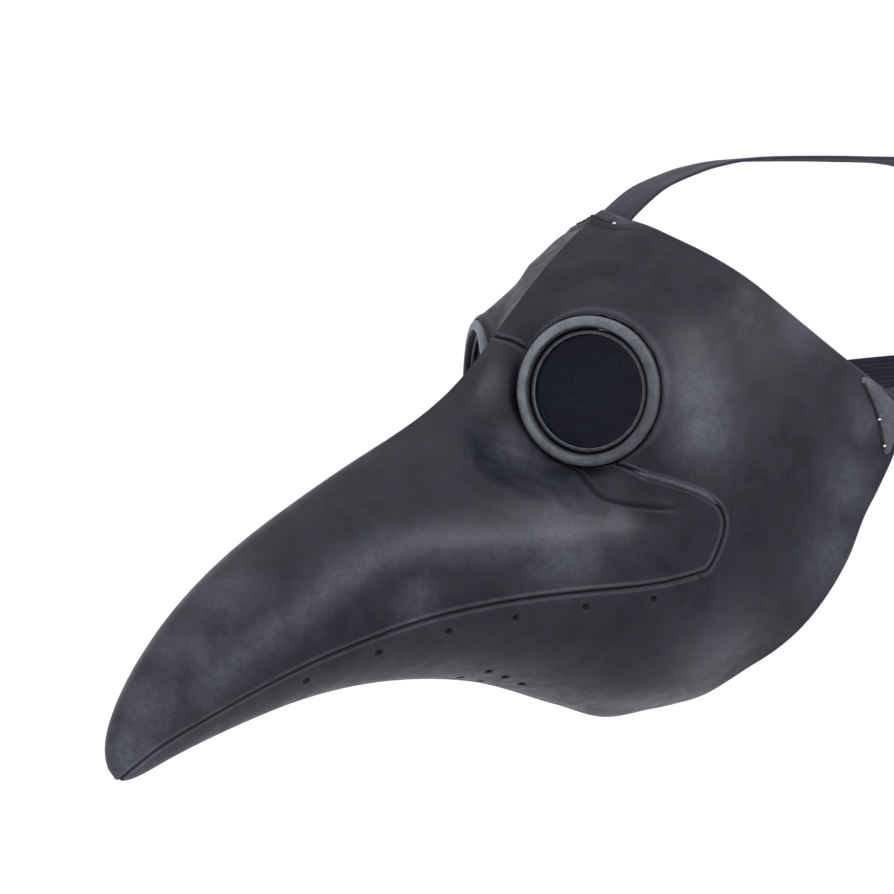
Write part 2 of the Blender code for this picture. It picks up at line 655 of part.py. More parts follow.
def build_trim():
    curve = through(LOBE[4:], 4.0)
    centre, _, _, _ = eye_frame(1.0)
    place = shell_point(curve[:, 0], curve[:, 1])
    away = np.linalg.norm(place - centre, axis=1)
    curve = curve[away > RING_OUT_R + WELT_W / 2 + 1.0]
    for side, tag in ((1.0, "left"), (-1.0, "right")):
        run = curve * np.array((1.0, side))
        place = shell_point(run[:, 0], run[:, 1])
        out = shell_normal(run[:, 0], run[:, 1])
        path = place + out * (GAP + WELT_H / 2)
        along = np.gradient(path, axis=0)
        along /= np.linalg.norm(along, axis=1, keepdims=True)
        wide = np.cross(out, along)
        strip("cheek_welt_" + tag, path, wide, out, WELT_W, WELT_H, BEAK_COLOUR, 0.42)
    for name, loop in STITCH_TABS.items():
        even = through(loop, 5.0, closed=True)
        panel(name, [even], GAP + TAB_T, GAP, SHELL_COLOUR, 0.45)
        if name.endswith("left"):
            other = mirrored(even)
            panel(name.replace("left", "right"), [other], GAP + TAB_T, GAP, SHELL_COLOUR, 0.45)


def build_harness():
    run = smooth_path(BELT_CURVE, 7.0)
    line = np.linspace(BELT_START, BELT_CURVE[0][1], 9)[:-1]
    run = np.concatenate([np.stack([np.full(8, BELT_X), line], axis=-1), run])
    up = belt_point(0.0, 0.0, 1.0) - belt_point(0.0, 0.0, 0.0)
    for side, tag in ((1.0, "left"), (-1.0, "right")):
        path = np.array([belt_point(side * x, along, 0.0) for x, along in run])
        ahead = np.gradient(path, axis=0)
        ahead /= np.linalg.norm(ahead, axis=1, keepdims=True)
        ahead[:7] = belt_point(0.0, 1.0, 0.0) - belt_point(0.0, 0.0, 0.0)
        wide = np.tile(up, (len(path), 1))
        strip("side_strap_" + tag, path, wide, np.cross(ahead, wide), STRAP_W, STRAP_T,
              STRAP_COLOUR, 0.8)
    run = smooth_path(TOP_PATH, 9.0)
    path = np.array([(0.0, y, z) for y, z in run])
    ahead = np.gradient(path, axis=0)
    ahead /= np.linalg.norm(ahead, axis=1, keepdims=True)
    wide = np.tile(np.array((1.0, 0.0, 0.0)), (len(path), 1))
    strip("top_strap", path, wide, np.cross(ahead, wide), STRAP_W, STRAP_T,
          STRAP_COLOUR, 0.8)
    pad_in = BELT_CURVE[-1][1] + STRAP_T / 2 + GAP
    half = PAD_W / 2
    corners = []
    for cx, cz, first in ((half - 7, PAD_TOP - 7, 0), (-half + 7, PAD_TOP - 7, 1),
                          (-half + 7, -STRAP_W / 2 + 4, 2), (half - 7, -STRAP_W / 2 + 4, 3)):
        for k in range(5):
            angle = math.pi / 2 * (first + k / 4)
            corners.append((cx + 7 * math.cos(angle), cz + 7 * math.sin(angle)))
    points = [belt_point(x, pad_in, z) for x, z in corners]
    points += [belt_point(x, pad_in + PAD_T, z) for x, z in corners]
    count = len(corners)
    faces = [tuple(range(count)), tuple(reversed(range(count, 2 * count)))]
    faces += [(k, (k + 1) % count, count + (k + 1) % count, count + k)
              for k in range(count)]
    new_object("rear_pad", points, faces, STRAP_COLOUR, 0.6)
    build_sliders()


def build_sliders():
    """Three-bar sliders: end bars behind the strap, middle bar in front of it."""
    face_in = BELT_X - STRAP_T / 2 - GAP
    face_out = BELT_X + STRAP_T / 2 + GAP
    across = (face_in - SLIDER_DEPTH, face_in, face_out, face_out + SLIDER_DEPTH)
    half = SLIDER_LEN / 2
    bar = SLIDER_BAR
    along = (-half, -half + bar, -bar / 2, bar / 2, half - bar, half)
    edge = STRAP_W / 2 + GAP
    height = (-edge - bar, -edge, edge, edge + bar)
    filled = {(a, s, h) for a in range(3) for s in range(5) for h in (0, 2)}
    filled |= {(0, 0, 1), (0, 4, 1), (2, 2, 1)}
    for side, tag in ((1.0, "left"), (-1.0, "right")):
        def place(x, run, rise, side=side):
            return belt_point(side * x, SLIDER_AT + run, rise)
        slider = cell_body("strap_slider_" + tag, (across, along, height), filled, place,
                           BUCKLE_COLOUR, 0.35)
        slider["travel_mm"] = 26.0


for thing in list(bpy.data.objects):
    bpy.data.objects.remove(thing, do_unlink=True)
build_shells()
build_eyepieces()
build_trim()
build_harness()
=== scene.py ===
"""Looks of the plague doctor mask: cast shells, goggle eyepieces, straps and stage."""
import math

import bmesh
import bpy
import numpy as np
from mathutils import Matrix, Vector, kdtree
from mathutils.geometry import delaunay_2d_cdt


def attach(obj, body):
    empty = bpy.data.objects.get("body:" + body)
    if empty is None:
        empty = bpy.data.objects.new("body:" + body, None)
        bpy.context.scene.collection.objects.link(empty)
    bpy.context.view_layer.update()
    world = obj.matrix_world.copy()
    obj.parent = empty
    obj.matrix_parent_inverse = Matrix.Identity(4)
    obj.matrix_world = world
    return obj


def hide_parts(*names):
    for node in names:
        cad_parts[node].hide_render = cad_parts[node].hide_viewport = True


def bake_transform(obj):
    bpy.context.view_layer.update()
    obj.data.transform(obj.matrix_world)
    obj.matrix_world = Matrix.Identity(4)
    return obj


bl_info = {
    "name": "Plague doctor mask",
    "version": (1, 0, 0),
    "blender": (4, 5, 0),
    "location": "3D View > Sidebar > Mask",
    "description": "Cast beak mask with goggle eyepieces and a strap harness",
    "category": "Add Mesh",
}

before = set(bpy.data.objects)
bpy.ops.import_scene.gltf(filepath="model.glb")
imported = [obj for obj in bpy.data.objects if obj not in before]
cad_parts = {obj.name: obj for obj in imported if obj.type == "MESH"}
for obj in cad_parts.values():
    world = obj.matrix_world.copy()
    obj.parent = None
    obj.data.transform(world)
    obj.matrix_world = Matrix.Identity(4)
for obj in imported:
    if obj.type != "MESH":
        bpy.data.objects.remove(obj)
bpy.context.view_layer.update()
MM = 0.001

# ------------------------------------------------------------------ sizes in mm
HEIGHTS = (0.0, 0.05, 0.13, 0.25, 0.40, 0.56, 0.71, 0.85, 0.95, 1.0)
STATIONS = (
    # top y, z      bottom y, z       half widths at the eight heights between
    (-276.5, -160.0, -262.5, -174.0, 3.0, 4.6, 5.6, 6.0, 5.6, 4.6, 3.4, 2.0),
    (-272.0, -143.0, -247.0, -166.5, 5.0, 8.0, 10.2, 11.5, 11.5, 10.0, 7.0, 3.8),
    (-258.5, -121.0, -226.0, -158.5, 7.5, 12.0, 15.6, 17.8, 18.0, 16.2, 11.4, 6.0),
    (-237.0, -95.5, -201.0, -150.0, 10.0, 16.4, 21.6, 24.6, 25.0, 23.0, 16.8, 9.0),
    (-207.0, -71.0, -174.0, -142.0, 12.0, 20.5, 27.4, 31.6, 32.2, 30.0, 22.4, 12.2),
    (-172.0, -49.5, -146.0, -137.0, 13.5, 24.0, 32.6, 38.0, 39.2, 37.0, 28.4, 15.6),
    (-137.0, -30.0, -119.0, -135.0, 14.0, 26.5, 37.4, 44.2, 46.0, 44.0, 34.4, 19.2),
    (-104.0, -13.5, -92.0, -135.5, 12.0, 25.0, 39.0, 49.2, 52.6, 50.6, 40.2, 23.0),
    (-80.0, 2.5, -64.0, -138.5, 8.0, 17.0, 33.0, 52.0, 58.0, 56.0, 45.4, 26.8),
    (-61.0, 22.5, -39.0, -145.0, 8.5, 13.0, 21.0, 49.0, 62.4, 61.6, 50.8, 30.6),
    (-42.0, 44.0, -14.0, -153.0, 18.0, 31.0, 40.0, 52.0, 68.0, 67.0, 55.6, 34.2),
    (-20.0, 66.0, 10.0, -158.0, 25.0, 47.0, 65.0, 71.0, 75.0, 72.0, 59.8, 37.0),
    (7.0, 88.0, 36.0, -157.0, 30.0, 55.0, 73.0, 78.5, 79.5, 76.6, 63.0, 39.0),
    (42.0, 99.0, 66.0, -152.0, 36.0, 58.0, 75.0, 81.0, 82.0, 79.0, 65.0, 40.0),
    (88.0, 104.0, 100.0, -147.0, 38.0, 60.0, 76.0, 82.0, 82.5, 80.0, 66.0, 41.0),
    (138.0, 104.0, 138.0, -142.0, 38.0, 60.0, 76.0, 82.0, 82.5, 80.0, 66.0, 41.0),
)
TIP = (-272.5, -172.5)
SHELL_THICK = 2.4
SEAM = ((0.40, 9.0), (0.42, 7.8), (0.55, 6.4), (0.93, 5.75), (1.8, 5.65), (2.6, 5.85),
        (3.5, 5.98), (4.4, 6.02), (5.4, 6.0), (6.7, 5.87), (8.1, 5.83), (9.7, 5.83),
        (11.4, 5.83), (12.22, 5.82))
LOBE = ((12.40, 5.80), (12.60, 5.60), (12.74, 5.36), (12.74, 5.17), (12.62, 4.99),
        (12.37, 4.80), (12.08, 4.63), (11.80, 4.47), (11.40, 4.26), (10.95, 3.98))
NICK = ((12.22, 5.86), (12.29, 5.93), (12.36, 6.0), (12.43, 6.06))
BRIDGE = ((10.38, 0.97), (10.32, 0.62), (10.24, 0.30), (10.16, 0.0))
REAR_EDGE = ((13.12, 0.0), (13.14, 0.5), (13.27, 1.0), (13.48, 1.6), (13.72, 2.17),
             (14.0, 2.6), (14.44, 3.08), (14.93, 3.56), (15.38, 3.93), (15.72, 4.2),
             (15.76, 4.55), (15.66, 4.88), (15.42, 5.3), (15.2, 5.67), (15.02, 6.17),
             (14.71, 6.83), (14.34, 7.55), (14.02, 7.95), (13.78, 8.3), (13.66, 8.65),
             (13.62, 9.0))
BREATHING = ((8.20, 8.52), (8.50, 8.05), (8.95, 8.25), (9.45, 8.45), (8.75, 8.72))
SEAM_PITS = ((4.87, 6.79), (6.06, 6.59), (7.23, 6.41), (8.41, 6.29), (9.79, 6.14),
             (11.26, 6.07))
UNDER_EYE_FOLD = ((9.55, 3.38), (9.78, 3.61), (10.28, 4.10), (10.72, 4.43), (11.09, 4.61),
                  (11.86, 4.87))
FOREHEAD_TAB = ((12.74, 0.0), (12.77, 0.45), (12.88, 0.72), (13.0, 0.76), (13.1, 0.6),
                (13.1, 0.0), (13.1, -0.6), (13.0, -0.76), (12.88, -0.72), (12.77, -0.45))
TEMPLE_TAB = ((15.2, 3.95), (15.32, 3.92), (15.66, 4.24), (15.7, 4.55), (15.58, 4.84),
              (15.48, 4.82), (15.42, 4.5), (15.32, 4.2))
FOREHEAD_STITCHES = ((12.9, -0.45), (12.86, -0.2), (12.85, 0.1), (12.86, 0.28), (12.87, 0.4))
FOREHEAD_KNOT = ((12.87, 0.47), (12.88, 0.5))
TEMPLE_STITCHES = ((15.22, 3.97), (15.335, 4.2), (15.435, 4.5), (15.49, 4.81))
EYE = (38.5, -29.9, 0.0)
EYE_TURN = math.radians(30.0)
EYE_SEAM_LOW = math.radians(-67.0)
EYE_SEAM_HIGH = math.radians(147.0)
HOLE_R = 29.0
RING_IN_R = 30.1
SKIN_RING_IN_R = 29.6   # the visible ring closes the dark slot beside the lens seat
RING_OUT_R = 35.2
RING_LOW = 0.3
RING_HIGH = 8.2
SEAT_IN_R = 27.9
SEAT_OUT_R = 28.9
SEAT_LOW = -5.2
SEAT_HIGH = 3.9
LIP_R = 26.7
LIP_HIGH = 5.4
LENS_R = 27.6
LENS_LOW = 1.6
LENS_HIGH = 3.6
RETAINER_IN_R = 24.4
RETAINER_LOW = -0.7
RETAINER_HIGH = 1.3
SEAT_FLAT = 36.6
SEAT_FADE = 52.0
NOSE_FADE = EYE[0] - SEAT_FLAT * math.cos(EYE_TURN) - 1.0
BREATHING_R = 1.5
PIT_R = 1.8
PIT_DEPTH = 2.0
DROP_R = 34.85                    # where the skin starts to drop to the ring
BROW_FROM = math.radians(48.0)    # the brow overhangs the ring between these angles
BROW_TO = math.radians(150.0)
UNDER_FROM = math.radians(40.0)   # the painted highlight arc under the ring starts here
BROW_FILLET = 2.1
NOSE_FILLET = 2.2
CHIN_BOSS = (9.0, -155.0, 24.0, 2.2)
TURN_STEPS = 160      # facets round a turned ring or disc
TAB_T = 1.4
TAB_LIFT = 0.3        # the tab's underside stands this far off the shell's surface
TAB_SWELL = 1.25
TAB_RIM = {"forehead": 0.15, "temple": 0.4}
STITCH_LIFT = {"forehead": 1.3, "temple": 0.75}
KNOT_R = 0.66
STRAP_W = 28.0
STRAP_T = 1.6
HINGE = (118.0, -13.0)
BELT_RISE = math.radians(10.0)
BELT_X = 76.6
BELT_BACK = 124.0
BELT_CURVE = ((BELT_X, -8.0), (BELT_X, 10.0), (BELT_X, 30.0), (BELT_X, 50.0),
              (BELT_X * 0.995, 62.0), (BELT_X * 0.953, BELT_BACK - 44.0),
              (BELT_X * 0.822, BELT_BACK - 26.0), (BELT_X * 0.6, BELT_BACK - 12.0),
              (BELT_X * 0.34, BELT_BACK - 3.5), (1.6, BELT_BACK))
TOP_PATH = ((7.0, 79.6), (13.0, 83.2), (18.0, 87.4), (25.0, 92.2), (34.0, 97.4),
            (43.0, 101.4), (55.0, 105.8), (71.0, 110.6), (96.0, 115.0), (136.0, 117.4),
            (170.0, 118.5), (201.0, 119.0), (220.0, 116.4), (236.0, 107.0), (245.0, 92.0),
            (246.6, 72.0), (242.0, 56.0), (238.4, 46.7), (238.9, 39.6), (240.2, 32.4))
TOP_ARCH = 0.0138     # per mm: how the strap's front end bows over the forehead
TOP_ARCH_Y = 13.0     # the bow is full up to here
TOP_ARCH_FADE = 30.0  # and gone this far behind
STRAP_POINTS = 1.6    # distance between rows of the webbing
SEAM_STEP = 1.6       # distance between points of the long seam


# ------------------------------------------------------------------ shell form
def control_net():
    """Control points of the +X half with a row past each end."""
    rows = []
    for top_y, top_z, low_y, low_z, *widths in STATIONS:
        top = np.array((0.0, top_y, top_z))
        low = np.array((0.0, low_y, low_z))
        row = [top]
        for share, width in zip(HEIGHTS[1:-1], widths):
            row.append(top + (low - top) * share + np.array((width, 0.0, 0.0)))
        row.append(low)
        rows.append(row)
    net = np.array(rows)
    mirror = np.array((-1.0, 1.0, 1.0))
    tip = np.tile(np.array((0.0, TIP[0], TIP[1])), (1, net.shape[1], 1))
    net = np.concatenate([tip, net])
    net = np.concatenate([(net[1][::-1] * mirror)[None], net, (2 * net[-1] - net[-2])[None]])
    sharp = np.clip((np.arange(net.shape[0]) - 7.0) / 3.0, 0.0, 1.0)[:, None, None]
    first = net[:, 1:2] * mirror * (1 - sharp) + (2 * net[:, :1] - net[:, 1:2]) * sharp
    return np.concatenate([first, net, net[:, -2:-1] * mirror], axis=1)


NET = control_net()
LAST = float(NET.shape[0] - 3)
LOW = float(NET.shape[1] - 3)


def smooth(x):
    """Eased share from 0 to 1."""
    x = np.clip(x, 0.0, 1.0)
    return x * x * (3.0 - 2.0 * x)


def weights(u):
    """Shares of four neighbouring control points."""
    return ((1 - u) ** 3 / 6, (3 * u ** 3 - 6 * u ** 2 + 4) / 6,
            (-3 * u ** 3 + 3 * u ** 2 + 3 * u + 1) / 6, u ** 3 / 6)


def eye_frame(side):
    """Seat centre, outward normal, and the two directions across the seat."""
    return (np.array((side * EYE[0], EYE[1], EYE[2])),
            np.array((side * math.sin(EYE_TURN), -math.cos(EYE_TURN), 0.0)),
            np.array((side * math.cos(EYE_TURN), math.sin(EYE_TURN), 0.0)),
            np.array((0.0, 0.0, 1.0)))


def shell_point(station, step):
    """Place in mm on the shell's surface, flat at the eye seats."""
    station = np.asarray(station, float)
    step = np.asarray(step, float)
    flip = np.where(step < 0.0, -1.0, 1.0)
    step = np.abs(step)
    row = np.clip(np.floor(station), 0, LAST - 1).astype(int)
    col = np.clip(np.floor(step), 0, LOW - 1).astype(int)
    by_row = weights(station - row)
    by_col = weights(step - col)
    point = np.zeros(station.shape + (3,))
    for a in range(4):
        for b in range(4):
            point += (by_row[a] * by_col[b])[..., None] * NET[row + a, col + b]
    point[..., 0] *= flip
    for side in (1.0, -1.0):
        centre, normal, _, _ = eye_frame(side)
        offset = point - centre
        height = offset @ normal
        reach = np.linalg.norm(offset - height[..., None] * normal, axis=-1)
        share = 1.0 - smooth((reach - SEAT_FLAT) / (SEAT_FADE - SEAT_FLAT))
        share = share * (point[..., 0] * side > 0.0)
        share = share * smooth((np.abs(point[..., 0]) - 1.0) / NOSE_FADE)
        point = point - (height * share)[..., None] * normal
    boss_y, boss_z, boss_reach, boss_height = CHIN_BOSS
    away = np.sqrt(point[..., 0] ** 2 + (point[..., 1] - boss_y) ** 2
                   + (point[..., 2] - boss_z) ** 2)
    point[..., 2] -= boss_height * smooth(1.0 - away / boss_reach)
    return point


def shell_slopes(station, step, small=0.004):
    """How the place moves along the stations and around the steps."""
    station = np.asarray(station, float)
    step = np.asarray(step, float)
    low = np.maximum(station - small, 0.0)
    high = np.minimum(station + small, LAST)
    along = (shell_point(high, step) - shell_point(low, step)) / (high - low)[..., None]
    around = (shell_point(station, step + small) - shell_point(station, step - small))
    return along, around / (2.0 * small)


def shell_normal(station, step):
    """Outward direction of the shell's surface."""
    station = np.asarray(station, float)
    along, around = shell_slopes(np.maximum(station, 0.02), step)
    normal = np.cross(along, around)
    normal /= np.maximum(np.linalg.norm(normal, axis=-1, keepdims=True), 1e-9)
    reference = shell_slopes(np.array(6.0), np.array(4.0))
    if np.cross(*reference)[0] < 0.0:
        normal = -normal
    normal[station < 0.02] = np.array((0.0, -0.85, -0.527))
    normal[np.abs(step) < 1e-6, 0] = 0.0
    return normal / np.linalg.norm(normal, axis=-1, keepdims=True)


# ------------------------------------------------------------------ curves on the shell
def chart_table():
    """Radius of the flat chart for each station, so that it keeps the shell's angles."""
    station = np.linspace(0.25, LAST, 400)
    steps = np.linspace(-LOW, LOW, 73)
    spread = np.zeros(len(station))
    for k, s in enumerate(station):
        ring = shell_point(np.full(73, s), steps)
        girth = np.sum(np.linalg.norm(np.diff(ring, axis=0), axis=1))
        ahead = shell_point(np.full(3, s + 0.02), np.array((2.0, 4.5, 7.0)))
        here = shell_point(np.full(3, s), np.array((2.0, 4.5, 7.0)))
        spread[k] = 2 * math.pi * np.mean(np.linalg.norm(ahead - here, axis=1)) / 0.02 / girth
    total = np.concatenate([[0.0], np.cumsum(0.5 * (spread[1:] + spread[:-1])
                                             * np.diff(station))])
    return station, total - total[-1]


CHART = chart_table()


def to_chart(station, step):
    """Places on the flat chart that keeps the shell's angles."""
    station = np.asarray(station, float)
    radius = np.exp(np.interp(station, CHART[0], CHART[1]))
    radius = radius * np.minimum(1.0, station / CHART[0][0])
    angle = math.pi * np.asarray(step, float) / LOW
    return np.stack([radius * np.cos(angle), radius * np.sin(angle)], axis=-1)


def dense_spline(points, closed):
    """Smooth curve through a few points, as many close points."""
    points = [np.array(p, float) for p in points]
    count = len(points)
    dense = []
    for k in range(count if closed else count - 1):
        if closed:
            p0, p1, p2, p3 = (points[(k + d) % count] for d in (-1, 0, 1, 2))
        else:
            p1, p2 = points[k], points[k + 1]
            p0 = points[k - 1] if k else 2 * p1 - p2
            p3 = points[k + 2] if k + 2 < count else 2 * p2 - p1
        for t in np.linspace(0.0, 1.0, 24, endpoint=False):
            dense.append(0.5 * (2 * p1 + (p2 - p0) * t + (2 * p0 - 5 * p1 + 4 * p2 - p3)
                                * t ** 2 + (3 * p1 - p0 - 3 * p2 + p3) * t ** 3))
    dense.append(points[0] if closed else points[-1])
    return np.array(dense)


def run_of(place):
    """Length of a polyline up to each of its points."""
    return np.concatenate([[0.0], np.cumsum(np.linalg.norm(np.diff(place, axis=0), axis=1))])


def even(dense, place, spacing, closed=False):
    """Points of a dense curve at an even spacing along its places in space."""
    run = run_of(place)
    want = np.linspace(0.0, run[-1], max(2, int(round(run[-1] / spacing))) + 1)
    if closed:
        want = want[:-1]
    return np.stack([np.interp(want, run, dense[:, k]) for k in range(dense.shape[1])],
                    axis=-1)


def on_shell(points, spacing, closed=False):
    """Even (station, step) points along a smooth curve on the shell."""
    dense = dense_spline(points, closed)
    return even(dense, shell_point(dense[:, 0], dense[:, 1]), spacing, closed)


def eye_points(angles, radius):
    """(station, step) of points on a circle about the left eye."""
    centre, _, across, up = eye_frame(1.0)
    station, step = np.meshgrid(np.linspace(8.5, 13.0, 46), np.linspace(0.1, 5.5, 55))
    station = station.ravel()
    step = step.ravel()
    offset = shell_point(station, step) - centre
    flat = np.stack([offset @ across, offset @ up], axis=-1)
    angles = np.asarray(angles, float)
    aim = radius * np.stack([np.cos(angles), np.sin(angles)], axis=-1)
    near = np.argmin(np.linalg.norm(flat[None] - aim[:, None], axis=-1), axis=1)
    guess = np.stack([station[near], step[near]], axis=-1)
    for _ in range(25):
        away = shell_point(guess[:, 0], guess[:, 1]) - centre
        miss = aim - np.stack([away @ across, away @ up], axis=-1)
        along, around = shell_slopes(guess[:, 0], guess[:, 1])
        slope = np.stack([np.stack([along @ across, around @ across], axis=-1),
                          np.stack([along @ up, around @ up], axis=-1)], axis=1)
        guess = guess + np.clip(np.linalg.solve(slope, miss[..., None])[..., 0], -0.3, 0.3)
    return guess


def mirrored(curve):
    """The same curve on the other side, run backwards."""
    return curve[::-1] * np.array((1.0, -1.0))


def place_of(curve):
    """Places in mm of (station, step) points."""
    return shell_point(curve[:, 0], curve[:, 1])


def sideways(curve, amount, closed=True):
    """A curve moved to its left on the surface, seen from outside, by an amount in mm."""
    place = place_of(curve)
    normal = shell_normal(curve[:, 0], curve[:, 1])
    if closed:
        ahead = np.roll(place, -1, axis=0) - place
        behind = place - np.roll(place, 1, axis=0)
    else:
        ahead = np.diff(place, axis=0, append=2 * place[-1:] - place[-2:-1])
        behind = np.diff(place, axis=0, prepend=2 * place[:1] - place[1:2])
    ahead /= np.linalg.norm(ahead, axis=1, keepdims=True)
    behind /= np.linalg.norm(behind, axis=1, keepdims=True)
    side = np.cross(normal, ahead) + np.cross(normal, behind)
    length = np.linalg.norm(side, axis=1, keepdims=True)
    side = side / length * np.minimum(2.0 / np.maximum(length, 0.3), 2.0)
    along, around = shell_slopes(curve[:, 0], curve[:, 1])
    basis = np.stack([along, around], axis=-1)
    move = np.array([np.linalg.lstsq(b, s * amount, rcond=None)[0]
                     for b, s in zip(basis, side)])
    out = curve + move
    out[:, 0] = np.maximum(out[:, 0], 0.0)
    return out


def inside(spots, loops):
    """Which chart places lie inside the first loops and outside the holes."""
    hit = np.zeros(len(spots), bool)
    for loop in loops:
        start = to_chart(loop[:, 0], loop[:, 1])
        end = np.roll(start, -1, axis=0)
        for a, b in zip(start, end):
            if a[1] == b[1]:
                continue
            crosses = (a[1] > spots[:, 1]) != (b[1] > spots[:, 1])
            at = a[0] + (spots[:, 1] - a[1]) * (b[0] - a[0]) / (b[1] - a[1])
            hit ^= crosses & (spots[:, 0] < at)
    return hit


def shrink(loop, amount):
    """A closed loop moved towards the tip side of the chart by an amount in mm."""
    flat = to_chart(loop[:, 0], loop[:, 1])
    moved = sideways(loop, 0.2)
    grown = to_chart(moved[:, 0], moved[:, 1])

    def area(p):
        return abs(np.sum(p[:, 0] * np.roll(p[:, 1], -1) - np.roll(p[:, 0], -1) * p[:, 1]))

    sign = 1.0 if area(grown) < area(flat) else -1.0
    return sideways(loop, sign * amount)


def outside_seat(curve):
    """The stretch of a curve that runs clear of the eye seat."""
    centre, normal, _, _ = eye_frame(1.0)
    offset = place_of(curve) - centre
    height = offset @ normal
    return curve[np.linalg.norm(offset - height[:, None] * normal, axis=1) > SEAT_FLAT + 1.5]


def seam_half():
    """Seam from the tip's underside to the lobe and the lower edge of the eyepiece."""
    low = np.concatenate([eye_points([EYE_SEAM_LOW], r) for r in (SEAT_FLAT + 0.3, 33.0)])
    return np.concatenate([on_shell(SEAM, SEAM_STEP),
                           outside_seat(on_shell(SEAM[-1:] + LOBE, 1.0)[1:]), low])


def bridge_half():
    """Seam from the upper edge of the eyepiece over the bridge of the nose."""
    high = np.concatenate([eye_points([EYE_SEAM_HIGH], r) for r in (33.0, SEAT_FLAT + 0.3)])
    return np.concatenate([high, outside_seat(on_shell(BRIDGE, 1.0))])



def seam_loop(upper):
    """Whole joint round the beak, over or under each eyepiece."""
    high_end = EYE_SEAM_HIGH - (2.0 * math.pi if upper else 0.0)
    turns = int(abs(high_end - EYE_SEAM_LOW) * HOLE_R / 1.5)
    arc = eye_points(np.linspace(EYE_SEAM_LOW, high_end, turns + 1), HOLE_R)
    half = np.concatenate([seam_half(), arc, bridge_half()])
    return np.concatenate([half, mirrored(half)[1:-1]])


def clean(loop, smallest):
    """A loop without points closer than a length in mm."""
    place = place_of(loop)
    kept = [0]
    for k in range(1, len(loop)):
        if np.linalg.norm(place[k] - place[kept[-1]]) >= smallest:
            kept.append(k)
    if np.linalg.norm(place[kept[-1]] - place[0]) < smallest:
        kept.pop()
    return loop[kept]


class Track:
    """Distance from points to a set of curves in space."""

    def __init__(self, curves, closed=False):
        parts = []
        for curve in curves:
            place = place_of(curve) if curve.shape[1] == 2 else curve
            if closed:
                place = np.concatenate([place, place[:1]])
            run = run_of(place)
            want = np.linspace(0.0, run[-1], max(2, int(run[-1] / 0.2)))
            parts.append(np.stack([np.interp(want, run, place[:, k]) for k in range(3)],
                                  axis=-1))
        self.spots = np.concatenate(parts)
        self.tree = kdtree.KDTree(len(self.spots))
        for k, spot in enumerate(self.spots):
            self.tree.insert(spot, k)
        self.tree.balance()

    def distance(self, points):
        far = np.array([self.tree.find(p)[2] for p in points])
        return np.sqrt(np.maximum(far ** 2 - 0.0025, 0.0))


# ------------------------------------------------------------------ shell meshes
GRID = 2.4
RIM_ROWS = (0.25, 0.6, 1.0, 1.5, 2.1, 2.8, 3.7)
EYE_RINGS = (31.0, 33.0, 34.8, 35.4, 35.9, 36.4, 36.9, 37.5, 38.2, 39.2, 40.6, 42.4, 44.6,
             47.0, 49.5, 52.0)
HEM_R = 1.1


def grid_spots(cell):
    """Even (station, step) spots all over the shell, about a cell apart."""
    spots = [(0.0, 0.0)]
    station = 0.06
    while station < LAST:
        steps = np.linspace(-LOW, LOW, 73)
        ring = shell_point(np.full(73, station), steps)
        girth = float(np.sum(np.linalg.norm(np.diff(ring, axis=0), axis=1)))
        half = max(4, int(round(girth / cell / 2.0)))
        for k in range(-half + 1, half + 1):
            spots.append((station, LOW * k / half))
        ahead = shell_point(station + 0.05, 4.0) - shell_point(station, 4.0)
        station += 0.05 * cell / max(float(np.linalg.norm(ahead)), 0.3)
    return np.array(spots)


def near(points, others, reach):
    """Which points have another one within reach."""
    tree = kdtree.KDTree(len(others))
    for k, spot in enumerate(others):
        tree.insert(spot, k)
    tree.balance()
    return np.array([tree.find(p)[2] < reach for p in points])


def add_rows(kept, fresh, loops, rim_place, gap, reach):
    """Fresh spots that lie on the panel, off its rim and off the rows already kept."""
    fresh = fresh[inside(to_chart(fresh[:, 0], fresh[:, 1]), loops)]
    if not len(fresh):
        return kept
    place = place_of(fresh)
    free = ~near(place, rim_place, gap)
    if len(kept):
        free &= ~near(place, place_of(kept), reach)
    fresh = fresh[free]
    return np.concatenate([kept, fresh]) if len(kept) else fresh


